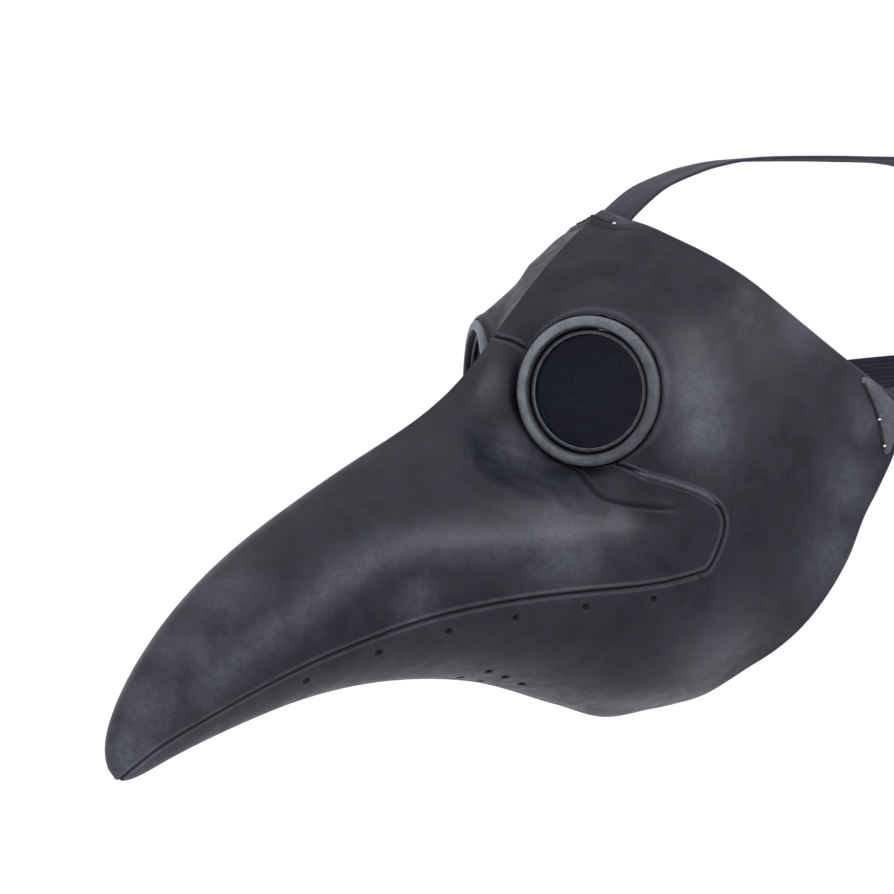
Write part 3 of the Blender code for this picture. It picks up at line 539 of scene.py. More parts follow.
def cast_panel(name, loops, extra, relief, thick, base=0.0):
    """Piece of the shell between its relief surface and its inside."""
    loops = [clean(loop, 0.25) for loop in loops]
    rim = np.concatenate(loops)
    rim_place = place_of(rim)
    edges = []
    start = 0
    for loop in loops:
        edges += [(start + k, start + (k + 1) % len(loop)) for k in range(len(loop))]
        start += len(loop)
    kept = np.zeros((0, 2))
    for loop in loops:
        for side in (1.0, -1.0):
            for row in RIM_ROWS:
                kept = add_rows(kept, sideways(loop, side * row), loops, rim_place,
                                row * 0.85, min(0.28, row * 0.5))
    for row, gap in extra:
        kept = add_rows(kept, row, loops, rim_place, 0.3, gap)
    kept = add_rows(kept, grid_spots(GRID), loops, rim_place, GRID * 0.5, GRID * 0.55)
    spots = np.concatenate([rim, kept])
    flat = to_chart(spots[:, 0], spots[:, 1])
    verts, _, faces, origins, _, _ = delaunay_2d_cdt([Vector(p) for p in flat], edges, [],
                                                     0, 1e-10)
    if len(verts) != len(flat):
        raise RuntimeError(f"{name}: {len(flat) - len(verts)} spots fell together")
    order = np.array([source[0] for source in origins])
    faces = order[np.array(faces)]
    faces = faces[inside(flat[faces].mean(axis=1), loops)]
    place = place_of(spots)
    normal = shell_normal(spots[:, 0], spots[:, 1])
    top, bottom, marks = relief(place, spots)
    outer = skin_place(spots) + skin_normal(spots) * (base + thick + top)[:, None]
    follow = smooth((eye_reach(place)[0] - 40.0) / 12.0)[:, None]
    inner = place + (skin_place(spots) - place) * follow + normal * (base + bottom)[:, None]
    count = len(spots)
    solid = [tuple(f) for f in faces] + [tuple(v + count for v in f[::-1]) for f in faces]
    used = {(f[k], f[(k + 1) % 3]) for f in faces.tolist() for k in range(3)}
    solid += [(b, a, a + count, b + count) for a, b in used if (b, a) not in used]
    piece = mesh_piece(name, np.concatenate([outer, inner]), solid)
    add_marks(piece, {key: np.concatenate([values, values * 0])
                      for key, values in marks.items()})
    return piece


def add_marks(piece, marks):
    """Writes shares, such as the painted highlights and the painted shade, one for each corner,
    for the paints to read.
    """
    for key, values in marks.items():
        layer = piece.data.attributes.new(key, "FLOAT", "POINT")
        layer.data.foreach_set("value", values.astype("f"))


def linear(hex_colour, alpha=1.0):
    """sRGB hex colour as linear RGBA."""
    parts = [int(hex_colour[k:k + 2], 16) / 255.0 for k in (1, 3, 5)]
    parts = [c / 12.92 if c <= 0.04045 else ((c + 0.055) / 1.055) ** 2.4 for c in parts]
    return (*parts, alpha)


def mesh_piece(name, points, faces, smooth_angle=40.0):
    """New object from places in mm."""
    mesh = bpy.data.meshes.new(name)
    mesh.from_pydata([tuple(p) for p in np.asarray(points) * MM], [], faces)
    piece = bpy.data.objects.new(name, mesh)
    bpy.context.scene.collection.objects.link(piece)
    finish_normals(piece, smooth_angle)
    return piece


def only(piece):
    """Selects one piece and nothing else."""
    bpy.ops.object.select_all(action="DESELECT")
    piece.select_set(True)
    bpy.context.view_layer.objects.active = piece


def finish_normals(piece, smooth_angle=40.0):
    """Closes doubles, turns the faces outwards and shades the piece smooth."""
    work = bmesh.new()
    work.from_mesh(piece.data)
    bmesh.ops.remove_doubles(work, verts=work.verts, dist=1e-7)
    bmesh.ops.recalc_face_normals(work, faces=work.faces)
    work.to_mesh(piece.data)
    work.free()
    only(piece)
    bpy.ops.object.shade_smooth_by_angle(angle=math.radians(smooth_angle))


def bump(distance, centre, half_width):
    """Soft ridge of height 1 at a distance."""
    return 1.0 - smooth(np.abs(distance - centre) / half_width)


def hem(distance):
    """How far a rounded edge falls back at a distance from it."""
    inner = np.clip(HEM_R - distance, 0.0, HEM_R)
    return HEM_R - np.sqrt(np.maximum(HEM_R ** 2 - inner ** 2, 0.0))


def circle(station, step, radius, count):
    """(station, step) points of a small circle, of a radius in mm, on the shell."""
    along, around = shell_slopes(station, step)
    angle = 2.0 * math.pi * np.arange(count) / count
    return np.stack([station + radius * np.cos(angle) / np.linalg.norm(along),
                     step + radius * np.sin(angle) / np.linalg.norm(around)], axis=-1)


def breathing_loops(radius, count=20):
    """Rims of the breathing holes in the underside."""
    return [circle(station, step * side, radius, count)
            for station, step in BREATHING for side in (1.0, -1.0)]


def pit_rows():
    """Close spots in and round the pits beside the seam."""
    rows = [np.array([(s, t * side) for s, t in SEAM_PITS for side in (1.0, -1.0)])]
    for radius, count in ((0.45, 6), (0.85, 10), (1.2, 12), (1.6, 14), (2.2, 14)):
        rows += [circle(station, step * side, radius, count)
                 for station, step in SEAM_PITS for side in (1.0, -1.0)]
    return np.concatenate(rows)


def both(curve):
    """A curve and its mirror image."""
    return [curve, curve * np.array((1.0, -1.0))]


def fold_rows(points, offsets):
    """Rows of spots beside a crease."""
    rows = []
    curve = on_shell(points, 1.4)
    for offset in offsets:
        rows += both(sideways(curve, offset, closed=False) if offset else curve)
    return np.concatenate(rows)


def eye_rows():
    """Rings of spots round each eyepiece."""
    rows = []
    for radius in EYE_RINGS:
        angles = 2.0 * math.pi * np.arange(140) / 140.0
        rows += both(eye_points(angles, radius))
    return np.concatenate(rows)


def ridge_rows(low, high):
    """Rows of spots along the middle crease between two stations."""
    station = np.arange(low, high, 0.04)
    rows = [np.stack([station, np.zeros(len(station))], axis=-1)]
    for step in (0.035, 0.09, 0.17):
        rows += both(np.stack([station, np.full(len(station), step)], axis=-1))
    return np.concatenate(rows)


def eye_reach(place):
    """Distance of each point from the nearer eye's axis, and its angle about it; the
    distance grows with the height over the seat, so that it fades along the nose."""
    reach = np.full(len(place), 999.0)
    turn = np.zeros(len(place))
    for side in (1.0, -1.0):
        centre, normal, across, up = eye_frame(side)
        offset = place - centre
        height = offset @ normal
        r = np.linalg.norm(offset - height[:, None] * normal, axis=1)
        r = r + 0.8 * np.maximum(np.abs(height) - 7.0, 0.0)
        r = np.where(place[:, 0] * side < 0, 999.0, r)
        closer = r < reach
        reach = np.where(closer, r, reach)
        turn = np.where(closer, np.arctan2(offset @ up, offset @ across), turn)
    return reach, turn


SEAM_TRACK = Track(both(seam_half()[:-1]) + both(bridge_half()[1:]))
FOLD_TRACK = Track(both(on_shell(UNDER_EYE_FOLD, 1.0)))
HOLE_TRACK = Track(breathing_loops(BREATHING_R, 30), closed=True)
PIT_TRACK = Track([np.repeat(np.array([[s, t * side]]), 2, axis=0) + np.array([[0], [1e-4]])
                   for s, t in SEAM_PITS for side in (1.0, -1.0)])
REAR_HALF = on_shell(REAR_EDGE, 2.0)
REAR_LOOP = np.concatenate([REAR_HALF, mirrored(REAR_HALF)[1:-1]])
REAR_TRACK = Track([REAR_LOOP], closed=True)
NICK_SPOTS = place_of(np.concatenate(both(on_shell(NICK, 0.5))))


def fold_share(place):
    """0 at the two ends of the crease under the eye, 1 from 9 mm inside them."""
    ends = place_of(np.array([(s, t * side) for s, t in (UNDER_EYE_FOLD[0],
                                                         UNDER_EYE_FOLD[-1])
                              for side in (1.0, -1.0)]))
    return np.min(np.linalg.norm(place[:, None] - ends[None], axis=-1), axis=1) / 9.0


def fold_shape(place):
    """Crease under the eye: a shallow fold with a soft roll above it."""
    away = FOLD_TRACK.distance(place)
    fade = smooth(fold_share(place))
    return fade * (-0.85 * np.exp(-(away / 0.75) ** 2) + 0.35 * bump(away, 2.2, 1.8))


def seam_shape(away, upper):
    """Groove at the joint, with a raised lip on the beak's side."""
    groove = -0.8 * (1.0 - smooth(away / 0.75))
    lip = (0.4 if upper else 0.15) * bump(away, 1.45, 1.05)
    return groove + lip


ROLL = ((10.54, 4.8), (9.38, 4.74), (8.17, 4.45), (7.35, 4.05), (6.62, 3.63),
        (5.83, 3.58), (4.98, 4.03), (4.16, 4.05), (3.27, 4.34))
UPPER_HOLLOW = ((8.26, 2.75), (7.47, 2.28), (6.79, 1.85), (6.06, 1.9),
                (5.36, 2.34), (4.60, 2.58), (3.75, 3.13))
LOWER_HOLLOW = ((10.09, 5.32), (8.79, 5.2), (7.62, 4.91), (6.73, 4.88), (5.92, 5.02),
                (5.10, 5.2))
SWELLS = ((11.9, 1.3, 17.0, 4.2), (11.05, 1.55, 17.0, 2.2), (12.25, 1.1, 18.0, 2.8),
          (12.85, 0.85, 13.0, 2.8), (11.4, 1.0, 14.0, 5.0),
          (13.8, 2.45, 24.0, 4.2), (13.75, 7.5, 28.0, -4.2))   # station, step, reach, rise
COLLAR_R = 36.6
COLLAR_H = 4.4
COLLAR_NOSE = 0.45   # share of the collar's height taken off towards the nose
ROLL_TRACK = Track(both(on_shell(ROLL, 2.0)))
UPPER_TRACK = Track(both(on_shell(UPPER_HOLLOW, 2.0)))
LOWER_TRACK = Track(both(on_shell(LOWER_HOLLOW, 2.0)))


def soft_form(place):
    """Broad cast form: the roll along the beak, the hollows beside it, brows and jaw."""
    form = 1.5 * np.exp(-(ROLL_TRACK.distance(place) / 10.0) ** 2)
    form -= 1.1 * np.exp(-(UPPER_TRACK.distance(place) / 13.0) ** 2)
    form -= 1.0 * np.exp(-(LOWER_TRACK.distance(place) / 9.0) ** 2)
    for station, step, reach, rise in SWELLS:
        for side in (1.0, -1.0):
            centre = shell_point(station, step * side)
            away = np.linalg.norm(place - centre, axis=1)
            form += rise * np.exp(-(away / reach) ** 2)
    return form


def collar_height(turn):
    """The collar round an eyepiece is lower where it runs into the nose."""
    return COLLAR_H * (1.0 - COLLAR_NOSE * smooth((-np.cos(turn) - 0.1) / 0.8))


def relaxed_form():
    """Moves of the skin on a (station, step) grid: a collar round each eyepiece and the
    broad form, with the skin between the collar and the cheek drawn taut."""
    stations = np.linspace(0.0, LAST, 261)
    steps = np.linspace(0.0, LOW, 141)
    grid = np.stack(np.meshgrid(stations, steps, indexing="ij"), axis=-1)
    spots = grid.reshape(-1, 2)
    place = place_of(spots)
    normal = shell_normal(spots[:, 0], spots[:, 1])
    reach, turn = eye_reach(place)
    turn = np.where(reach < 900.0, turn, 0.0)
    side = np.abs(place[:, 0])
    nose = smooth((side - 1.0) / 7.0)
    collar = np.exp(-((np.maximum(reach, COLLAR_R) - COLLAR_R) / 13.0) ** 2)
    rise = collar_height(turn) * collar * nose
    rise += soft_form(place) * smooth((reach - 36.0) / 12.0) * smooth((side - 0.5) / 6.0)
    free = smooth((reach - COLLAR_R) / 2.0) * (1.0 - smooth((reach - 56.0) / 16.0))
    free *= smooth((side - 1.5) / 4.0) * 0.5
    shape = (len(stations), len(steps))
    moved = (place + normal * rise[:, None]).reshape(*shape, 3)
    normal = normal.reshape(*shape, 3)
    free = free.reshape(shape)[1:-1, 1:-1, None]
    for _ in range(420):
        middle = (moved[:-2, 1:-1] + moved[2:, 1:-1] + moved[1:-1, :-2]
                  + moved[1:-1, 2:]) / 4.0
        pull = np.sum((middle - moved[1:-1, 1:-1]) * normal[1:-1, 1:-1], axis=-1,
                      keepdims=True)
        moved[1:-1, 1:-1] += free * pull * normal[1:-1, 1:-1]
    return moved - place.reshape(*shape, 3), stations, steps


def skin_place(spots):
    """Outer skin at (station, step) spots, before its fine relief."""
    moves, stations, steps = FORM
    s = spots[:, 0] / stations[1]
    t = np.abs(spots[:, 1]) / steps[1]
    a = np.clip(np.floor(s), 0, len(stations) - 2).astype(int)
    b = np.clip(np.floor(t), 0, len(steps) - 2).astype(int)
    u = np.clip(s - a, 0.0, 1.0)[:, None]
    v = np.clip(t - b, 0.0, 1.0)[:, None]
    move = ((moves[a, b] * (1 - u) + moves[a + 1, b] * u) * (1 - v)
            + (moves[a, b + 1] * (1 - u) + moves[a + 1, b + 1] * u) * v)
    move = move * np.stack([np.where(spots[:, 1] < 0, -1.0, 1.0), np.ones(len(spots)),
                            np.ones(len(spots))], axis=-1)
    return place_of(spots) + move


def skin_normal(spots, small=0.03):
    """Outward direction of the outer skin."""
    low = np.maximum(spots[:, 0] - small, 0.0)
    high = np.minimum(spots[:, 0] + small, LAST)
    step = spots[:, 1]
    along = (skin_place(np.stack([high, step], axis=-1))
             - skin_place(np.stack([low, step], axis=-1)))
    around = (skin_place(np.stack([spots[:, 0], np.minimum(step + small, LOW)], axis=-1))
              - skin_place(np.stack([spots[:, 0], np.maximum(step - small, -LOW)], axis=-1)))
    normal = np.cross(along, around)
    normal /= np.maximum(np.linalg.norm(normal, axis=-1, keepdims=True), 1e-9)
    plain = shell_normal(spots[:, 0], spots[:, 1])
    normal *= np.where(np.sum(normal * plain, axis=-1, keepdims=True) < 0, -1.0, 1.0)
    exact = (spots[:, 0] < 0.1) | (np.abs(step) < small) | (np.abs(step) > LOW - small)
    return np.where(exact[:, None], plain, normal)


FORM = relaxed_form()


def most(first, *others):
    """The largest of several shares at each point."""
    for other in others:
        first = np.maximum(first, other)
    return first


def groove(distance, half_width):
    """Soft share that is 1 in the middle of a groove."""
    return np.exp(-(distance / half_width) ** 2)


def eyepiece_edge(place):
    """Relief, painted shade and painted highlight lines where the skin meets an eyepiece: it drops
    at the ring, under the brow as a sharp step, beside the nose with a fillet, elsewhere behind a
    low roll."""
    reach, turn = eye_reach(place)
    nose = smooth((np.abs(place[:, 0]) - 1.5) / 8.0)
    brow = smooth((turn - BROW_FROM) / 0.35) * smooth((BROW_TO - turn) / 0.25)
    flank = smooth((-np.cos(turn) - 0.1) / 0.8)
    below = smooth((-turn - UNDER_FROM) / 0.2)
    drop = 1.0 - smooth((reach - DROP_R + 0.15 * brow) / (1.05 - 0.5 * brow))
    fillet = np.maximum(BROW_FILLET * brow, NOSE_FILLET * flank)
    top = (0.25 * (1.0 - brow) * bump(reach, SEAT_FLAT + 0.1, 1.5)
           + fillet * (1.0 - smooth((reach - RING_OUT_R) / 2.9)) * (1.0 - drop)
           - collar_height(turn) * drop) * nose
    # Painted shade in the groove round the ring, except under the brow
    recess_shade = groove(reach - RING_OUT_R - 0.6, 0.8) * (1.0 - brow)
    # Painted highlight lines round the ring, strongest along the brow and under the ring
    crest_highlight = most(0.5 * bump(reach, 37.7, 1.4), 0.9 * brow * bump(reach, 37.9, 0.9),
               0.8 * below * bump(reach, 37.0, 0.8))
    return top, recess_shade, crest_highlight


def shell_relief(upper):
    """Fine relief and marks of a panel, for cast_panel: painted shade in the grooves, pits and
    holes, painted highlights on the crests and rises.
    """
    def relief(place, spots):
        seam = SEAM_TRACK.distance(place)
        nick = np.min(np.linalg.norm(place[:, None] - NICK_SPOTS[None], axis=-1), axis=1)
        top, recess_shade, crest_highlight = eyepiece_edge(place)
        top += seam_shape(seam, upper) + fold_shape(place)
        top -= 0.9 * (1.0 - smooth(nick / 1.3))
        bottom = np.zeros(len(place))
        # Painted shade in the seam, the nick and the crease under the eye
        recess_shade = most(recess_shade, groove(seam, 0.8), groove(nick, 1.0),
                     groove(FOLD_TRACK.distance(place), 0.9))
        # Painted highlight along the seam's lip
        crest_highlight = most(crest_highlight, bump(seam, 1.8, 1.2))
        if not upper:
            rear = REAR_TRACK.distance(place)
            top -= hem(rear)
            bottom += hem(rear)
            hole = HOLE_TRACK.distance(place)
            top -= 0.5 * (1.0 - smooth(hole / 0.9))
            pit = PIT_TRACK.distance(place)
            top -= PIT_DEPTH * (1.0 - smooth((pit - 0.45) / PIT_R))
            top += 0.2 * bump(pit, 2.9, 0.9)
            # Painted highlights on the crescent round each pit and along the rear hem
            crest_highlight = most(crest_highlight, 0.6 * bump(pit, 2.7, 0.8), 0.6 * bump(rear, 0.6, 0.9))
            # Painted shade in the pits and round the breathing holes
            recess_shade = most(recess_shade, np.exp(-(pit / 1.85) ** 4), 0.8 * groove(hole, 0.7))
        return top, bottom, {"recess_shade": recess_shade, "crest_highlight": crest_highlight, "broad_highlight": broad_highlight_at(place)}
    return relief


# ------------------------------------------------------------------ modelling helpers
def dressed(piece, name, body, paint, nodes=()):
    """Names a finished piece, paints it and lets it ride on its body."""
    piece.name = name
    piece.data.name = name
    piece.data.materials.clear()
    piece.data.materials.append(paint)
    if body:
        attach(piece, body)
    if nodes:
        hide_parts(*nodes)
    return piece


def settle():
    """Puts the active object's place, turn and scale into its mesh."""
    bpy.ops.object.transform_apply(location=True, rotation=True, scale=True)


def pick(piece, test, what="EDGE"):
    """In edit mode: selects what has all its corners passing a test on a place in mm."""
    bpy.ops.mesh.select_mode(type=what)
    bpy.ops.mesh.select_all(action="DESELECT")
    work = bmesh.from_edit_mesh(piece.data)
    kind = {"VERT": work.verts, "EDGE": work.edges, "FACE": work.faces}[what]
    for item in kind:
        corners = [item] if what == "VERT" else item.verts
        item.select_set(all(test(np.array(v.co) / MM) for v in corners))
    work.select_flush_mode()
    bmesh.update_edit_mesh(piece.data)


def turned(name, side, box, corners, lip=None):
    """Ring turned about an eye's axis from a rectangle (radius, height, radius, height);
    each corner is (radius, height, softening, cuts), and a lip is drawn out of its top."""
    centre, normal, across, _ = eye_frame(side)
    low_r, low_h, high_r, high_h = box
    middle = centre + across * (low_r + high_r) / 2 + normal * (low_h + high_h) / 2
    turn = Matrix([across, normal, np.cross(across, normal)]).transposed()
    bpy.ops.object.select_all(action="DESELECT")
    bpy.ops.mesh.primitive_plane_add(size=1.0, location=Vector(middle * MM),
                                     rotation=turn.to_euler())
    piece = bpy.context.object
    piece.scale = ((high_r - low_r) * MM, (high_h - low_h) * MM, 1.0)
    settle()
    bpy.ops.object.mode_set(mode="EDIT")

    def spot(place):
        offset = place - centre
        return float(offset @ across), float(offset @ normal)

    if lip:
        lip_r, lip_h = lip
        pick(piece, lambda p: abs(spot(p)[1] - high_h) < 0.01)
        bpy.ops.mesh.extrude_region_move(TRANSFORM_OT_translate={
            "value": tuple(normal * (lip_h - high_h) * MM)})
        pick(piece, lambda p: abs(spot(p)[0] - low_r) < 0.01
             and spot(p)[1] > high_h - 0.01)
        bpy.ops.mesh.extrude_region_move(TRANSFORM_OT_translate={
            "value": tuple(across * (lip_r - low_r) * MM)})
    for at_r, at_h, reach, cuts in corners:
        pick(piece, lambda p, a=at_r, b=at_h: abs(spot(p)[0] - a) < 0.02
             and abs(spot(p)[1] - b) < 0.02, "VERT")
        bpy.ops.mesh.bevel(offset=reach * MM, segments=cuts, affect="VERTICES")
    bpy.ops.mesh.select_all(action="SELECT")
    bpy.ops.mesh.dissolve_limited(angle_limit=math.radians(0.5))
    bpy.ops.mesh.select_all(action="SELECT")
    bpy.ops.mesh.delete(type="ONLY_FACE")
    bpy.ops.mesh.select_all(action="SELECT")
    bpy.ops.mesh.spin(steps=TURN_STEPS, angle=2.0 * math.pi, center=tuple(centre * MM),
                      axis=tuple(normal), use_auto_merge=True)
    bpy.ops.mesh.select_all(action="SELECT")
    bpy.ops.mesh.remove_doubles(threshold=1e-6)
    bpy.ops.mesh.normals_make_consistent(inside=False)
    bpy.ops.object.mode_set(mode="OBJECT")
    piece.name = name
    bpy.ops.object.shade_smooth_by_angle(angle=math.radians(35.0))
    return piece


def disc(name, side, radius, low, high, soft):
    """Round plate about an eye's axis with softened rims."""
    centre, normal, across, _ = eye_frame(side)
    turn = Matrix([across, np.cross(normal, across), normal]).transposed()
    bpy.ops.object.select_all(action="DESELECT")
    bpy.ops.mesh.primitive_cylinder_add(
        vertices=TURN_STEPS, radius=radius * MM, depth=(high - low) * MM, rotation=turn.to_euler(),
        location=Vector((centre + normal * (low + high) / 2) * MM))
    piece = bpy.context.object
    settle()
    bpy.ops.object.mode_set(mode="EDIT")
    for level in (low, high):
        pick(piece, lambda p, h=level: abs(float((p - centre) @ normal) - h) < 0.01)
        bpy.ops.mesh.bevel(offset=soft * MM, segments=3, affect="EDGES")
    for level in (low, high):
        pick(piece, lambda p, h=level: abs(float((p - centre) @ normal) - h) < 0.01, "FACE")
        for step in (0.35, 0.5, 0.5):
            bpy.ops.mesh.inset(thickness=radius * MM * step * 0.5)
    bpy.ops.object.mode_set(mode="OBJECT")
    bpy.ops.object.shade_smooth_by_angle(angle=math.radians(35.0))
    return piece


def from_frame(node, soft, cuts=3, merge_angle=2.0):
    """Copy of a plain part from the frame with its edges rounded."""
    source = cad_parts[node]
    mesh = source.data.copy()
    mesh.transform(source.matrix_world)
    piece = bpy.data.objects.new(node + "_copy", mesh)
    bpy.context.scene.collection.objects.link(piece)
    only(piece)
    bpy.ops.object.mode_set(mode="EDIT")
    bpy.ops.mesh.select_all(action="SELECT")
    bpy.ops.mesh.remove_doubles(threshold=1e-6)
    bpy.ops.mesh.dissolve_limited(angle_limit=math.radians(merge_angle))
    bpy.ops.mesh.select_all(action="SELECT")
    bpy.ops.mesh.bevel(offset=soft * MM, segments=cuts, affect="EDGES", clamp_overlap=True)
    bpy.ops.mesh.select_all(action="SELECT")
    bpy.ops.mesh.remove_doubles(threshold=1e-6)
    bpy.ops.mesh.normals_make_consistent(inside=False)
    bpy.ops.object.mode_set(mode="OBJECT")
    bpy.ops.object.shade_smooth_by_angle(angle=math.radians(40.0))
    return piece


def sweep(name, path, wide, out, section, scale=None):
    """Closed body of a section (across, out) carried along a path, with a UV in metres."""
    path = np.asarray(path)
    count = len(section)
    scale = np.ones(len(path)) if scale is None else scale
    points = (path[:, None] + wide[:, None] * section[None, :, :1] * scale[:, None, None]
              + out[:, None] * section[None, :, 1:] * scale[:, None, None])
    points = points.reshape(-1, 3)
    rows = len(path)
    faces = []
    for k in range(rows - 1):
        for m in range(count):
            n = (m + 1) % count
            faces.append((k * count + m, k * count + n, (k + 1) * count + n,
                          (k + 1) * count + m))
    faces.append(tuple(range(count))[::-1])
    faces.append(tuple((rows - 1) * count + m for m in range(count)))
    piece = mesh_piece(name, points, faces, 50.0)
    run = run_of(path)
    uv = np.stack([np.repeat(run, count), np.tile(section[:, 0], rows)], axis=-1) * MM
    layer = piece.data.uv_layers.new(name="weave")
    corner = np.zeros(len(piece.data.loops), int)
    piece.data.loops.foreach_get("vertex_index", corner)
    if len(piece.data.vertices) != len(uv):
        raise RuntimeError(f"{name}: corners of the sweep fell together")
    layer.data.foreach_set("uv", uv[corner].astype("f").ravel())
    return piece


def strap_section(width, thick, ribs=0, rib=0.0, cuts=36):
    """Flat strap with rounded selvedges and shallow woven ribs."""
    half = width / 2.0
    across = np.concatenate([[-half], np.linspace(-half + 0.25, half - 0.25, cuts), [half]])
    edge = np.clip((half - np.abs(across)) / (thick * 0.5), 0.0, 1.0)
    level = thick / 2.0 * (0.35 + 0.65 * np.sqrt(1.0 - (1.0 - edge) ** 2))
    level -= rib * (0.5 + 0.5 * np.cos(2.0 * math.pi * ribs * across / width)) * (ribs > 0)
    top = np.stack([across, level], axis=-1)
    low = np.stack([across[::-1], -level[::-1]], axis=-1)
    return np.concatenate([low, top])


def rope_section(radius, cuts):
    """Round section of a thread."""
    angle = 2.0 * math.pi * np.arange(cuts) / cuts
    return np.stack([radius * np.cos(angle), radius * np.sin(angle)], axis=-1)


def heading(path):
    """Direction of travel at each point of a path."""
    ahead = np.gradient(path, axis=0)
    return ahead / np.linalg.norm(ahead, axis=1, keepdims=True)


def frames_along(path, out):
    """Directions across a path and out of the surface that it follows."""
    ahead = heading(path)
    wide = np.cross(out, ahead)
    wide /= np.linalg.norm(wide, axis=1, keepdims=True)
    return wide, np.cross(ahead, wide)


def run_even(dense, spacing):
    """Points of a dense curve in space at an even spacing."""
    return even(dense, dense, spacing)


def stitch_run(name, place, out, pitch, sink, radius):
    """One thread that shows as a row of stitches: it dips under between them."""
    place = np.asarray(place)
    run = run_of(place)
    turns = max(2, int(round(run[-1] / pitch)))
    want = np.linspace(0.0, run[-1], turns * 8 + 1)
    spot = np.stack([np.interp(want, run, place[:, k]) for k in range(3)], axis=-1)
    face = np.stack([np.interp(want, run, out[:, k]) for k in range(3)], axis=-1)
    face /= np.linalg.norm(face, axis=1, keepdims=True)
    phase = want / run[-1] * turns * 2.0 * math.pi
    spot = spot + face * (np.clip(1.1 * np.cos(phase) + 0.45, -1.0, 0.55)
                          * sink)[:, None]
    wide, normal = frames_along(spot, face)
    return sweep(name, spot, wide, normal, rope_section(radius, 8))


def belt_point(x, along, rise):
    """Harness place from sideways x, run along the belt and height across it."""
    return np.array((x, HINGE[0] + along * math.cos(BELT_RISE) - rise * math.sin(BELT_RISE),
                     HINGE[1] + along * math.sin(BELT_RISE) + rise * math.cos(BELT_RISE)))


# ------------------------------------------------------------------ materials
def add(tree, kind, place, **sockets):
    """New shader node with its settings and sockets; a socket takes a value or a link."""
    node = tree.nodes.new(kind)
    node.location = (place[0] * 220, place[1] * 220)
    for key, value in sockets.items():
        if key.startswith("set_"):
            setattr(node, key[4:], value)
            continue
        socket = node.inputs[int(key[1:])] if key[0] == "i" and key[1:].isdigit() \
            else node.inputs[key.replace("_", " ")]
        if hasattr(value, "is_linked"):
            tree.links.new(value, socket)
        else:
            socket.default_value = value
    return node


def start(name):
    """New material with an empty tree and its shader."""
    old = bpy.data.materials.get(name)
    if old:
        bpy.data.materials.remove(old)
    paint = bpy.data.materials.new(name)
    paint.use_nodes = True
    tree = paint.node_tree
    tree.nodes.clear()
    shader = add(tree, "ShaderNodeBsdfPrincipled", (6, 0))
    out = add(tree, "ShaderNodeOutputMaterial", (8, 0))
    tree.links.new(shader.outputs["BSDF"], out.inputs["Surface"])
    return paint, tree, shader


def noise(tree, place, coords, size_mm, detail=4.0, rough=0.55, distort=0.0):
    """Noise whose features are about a size in mm."""
    return add(tree, "ShaderNodeTexNoise", place, Vector=coords, Scale=1.0 / (size_mm * MM),
               Detail=detail, Roughness=rough, Distortion=distort).outputs["Fac"]


def ramp(tree, place, value, low, high, out_low=0.0, out_high=1.0):
    """Value eased from one range to another."""
    return add(tree, "ShaderNodeMapRange", place, Value=value, From_Min=low, From_Max=high,
               To_Min=out_low, To_Max=out_high, set_clamp=True,
               set_interpolation_type="SMOOTHSTEP").outputs["Result"]


def blend_colour(tree, place, share, first, second):
    """Colour between two colours or links."""
    node = add(tree, "ShaderNodeMix", place, set_data_type="RGBA")
    for socket, value in ((node.inputs[0], share), (node.inputs[6], first),
                          (node.inputs[7], second)):
        if hasattr(value, "is_linked"):
            tree.links.new(value, socket)
        else:
            socket.default_value = value
    return node.outputs[2]


def sums(tree, place, kind, first, second=0.0):
    """Result of a sum with one or two inputs."""
    return add(tree, "ShaderNodeMath", place, set_operation=kind, i0=first,
               i1=second).outputs[0]


def relief_bump(tree, place, layers):
    """Chain of bumps; each layer is (height, distance in mm)."""
    normal = None
    for k, (height, distance) in enumerate(layers):
        node = add(tree, "ShaderNodeBump", (place[0] + k, place[1]), Height=height,
                   Distance=distance * MM, Strength=1.0)
        if normal is not None:
            tree.links.new(normal, node.inputs["Normal"])
        normal = node.outputs["Normal"]
    return normal


def coords_of(tree, kind="Object"):
    """Object coordinates, or the piece's own UV map."""
    return add(tree, "ShaderNodeTexCoord", (-6, 0)).outputs[kind]


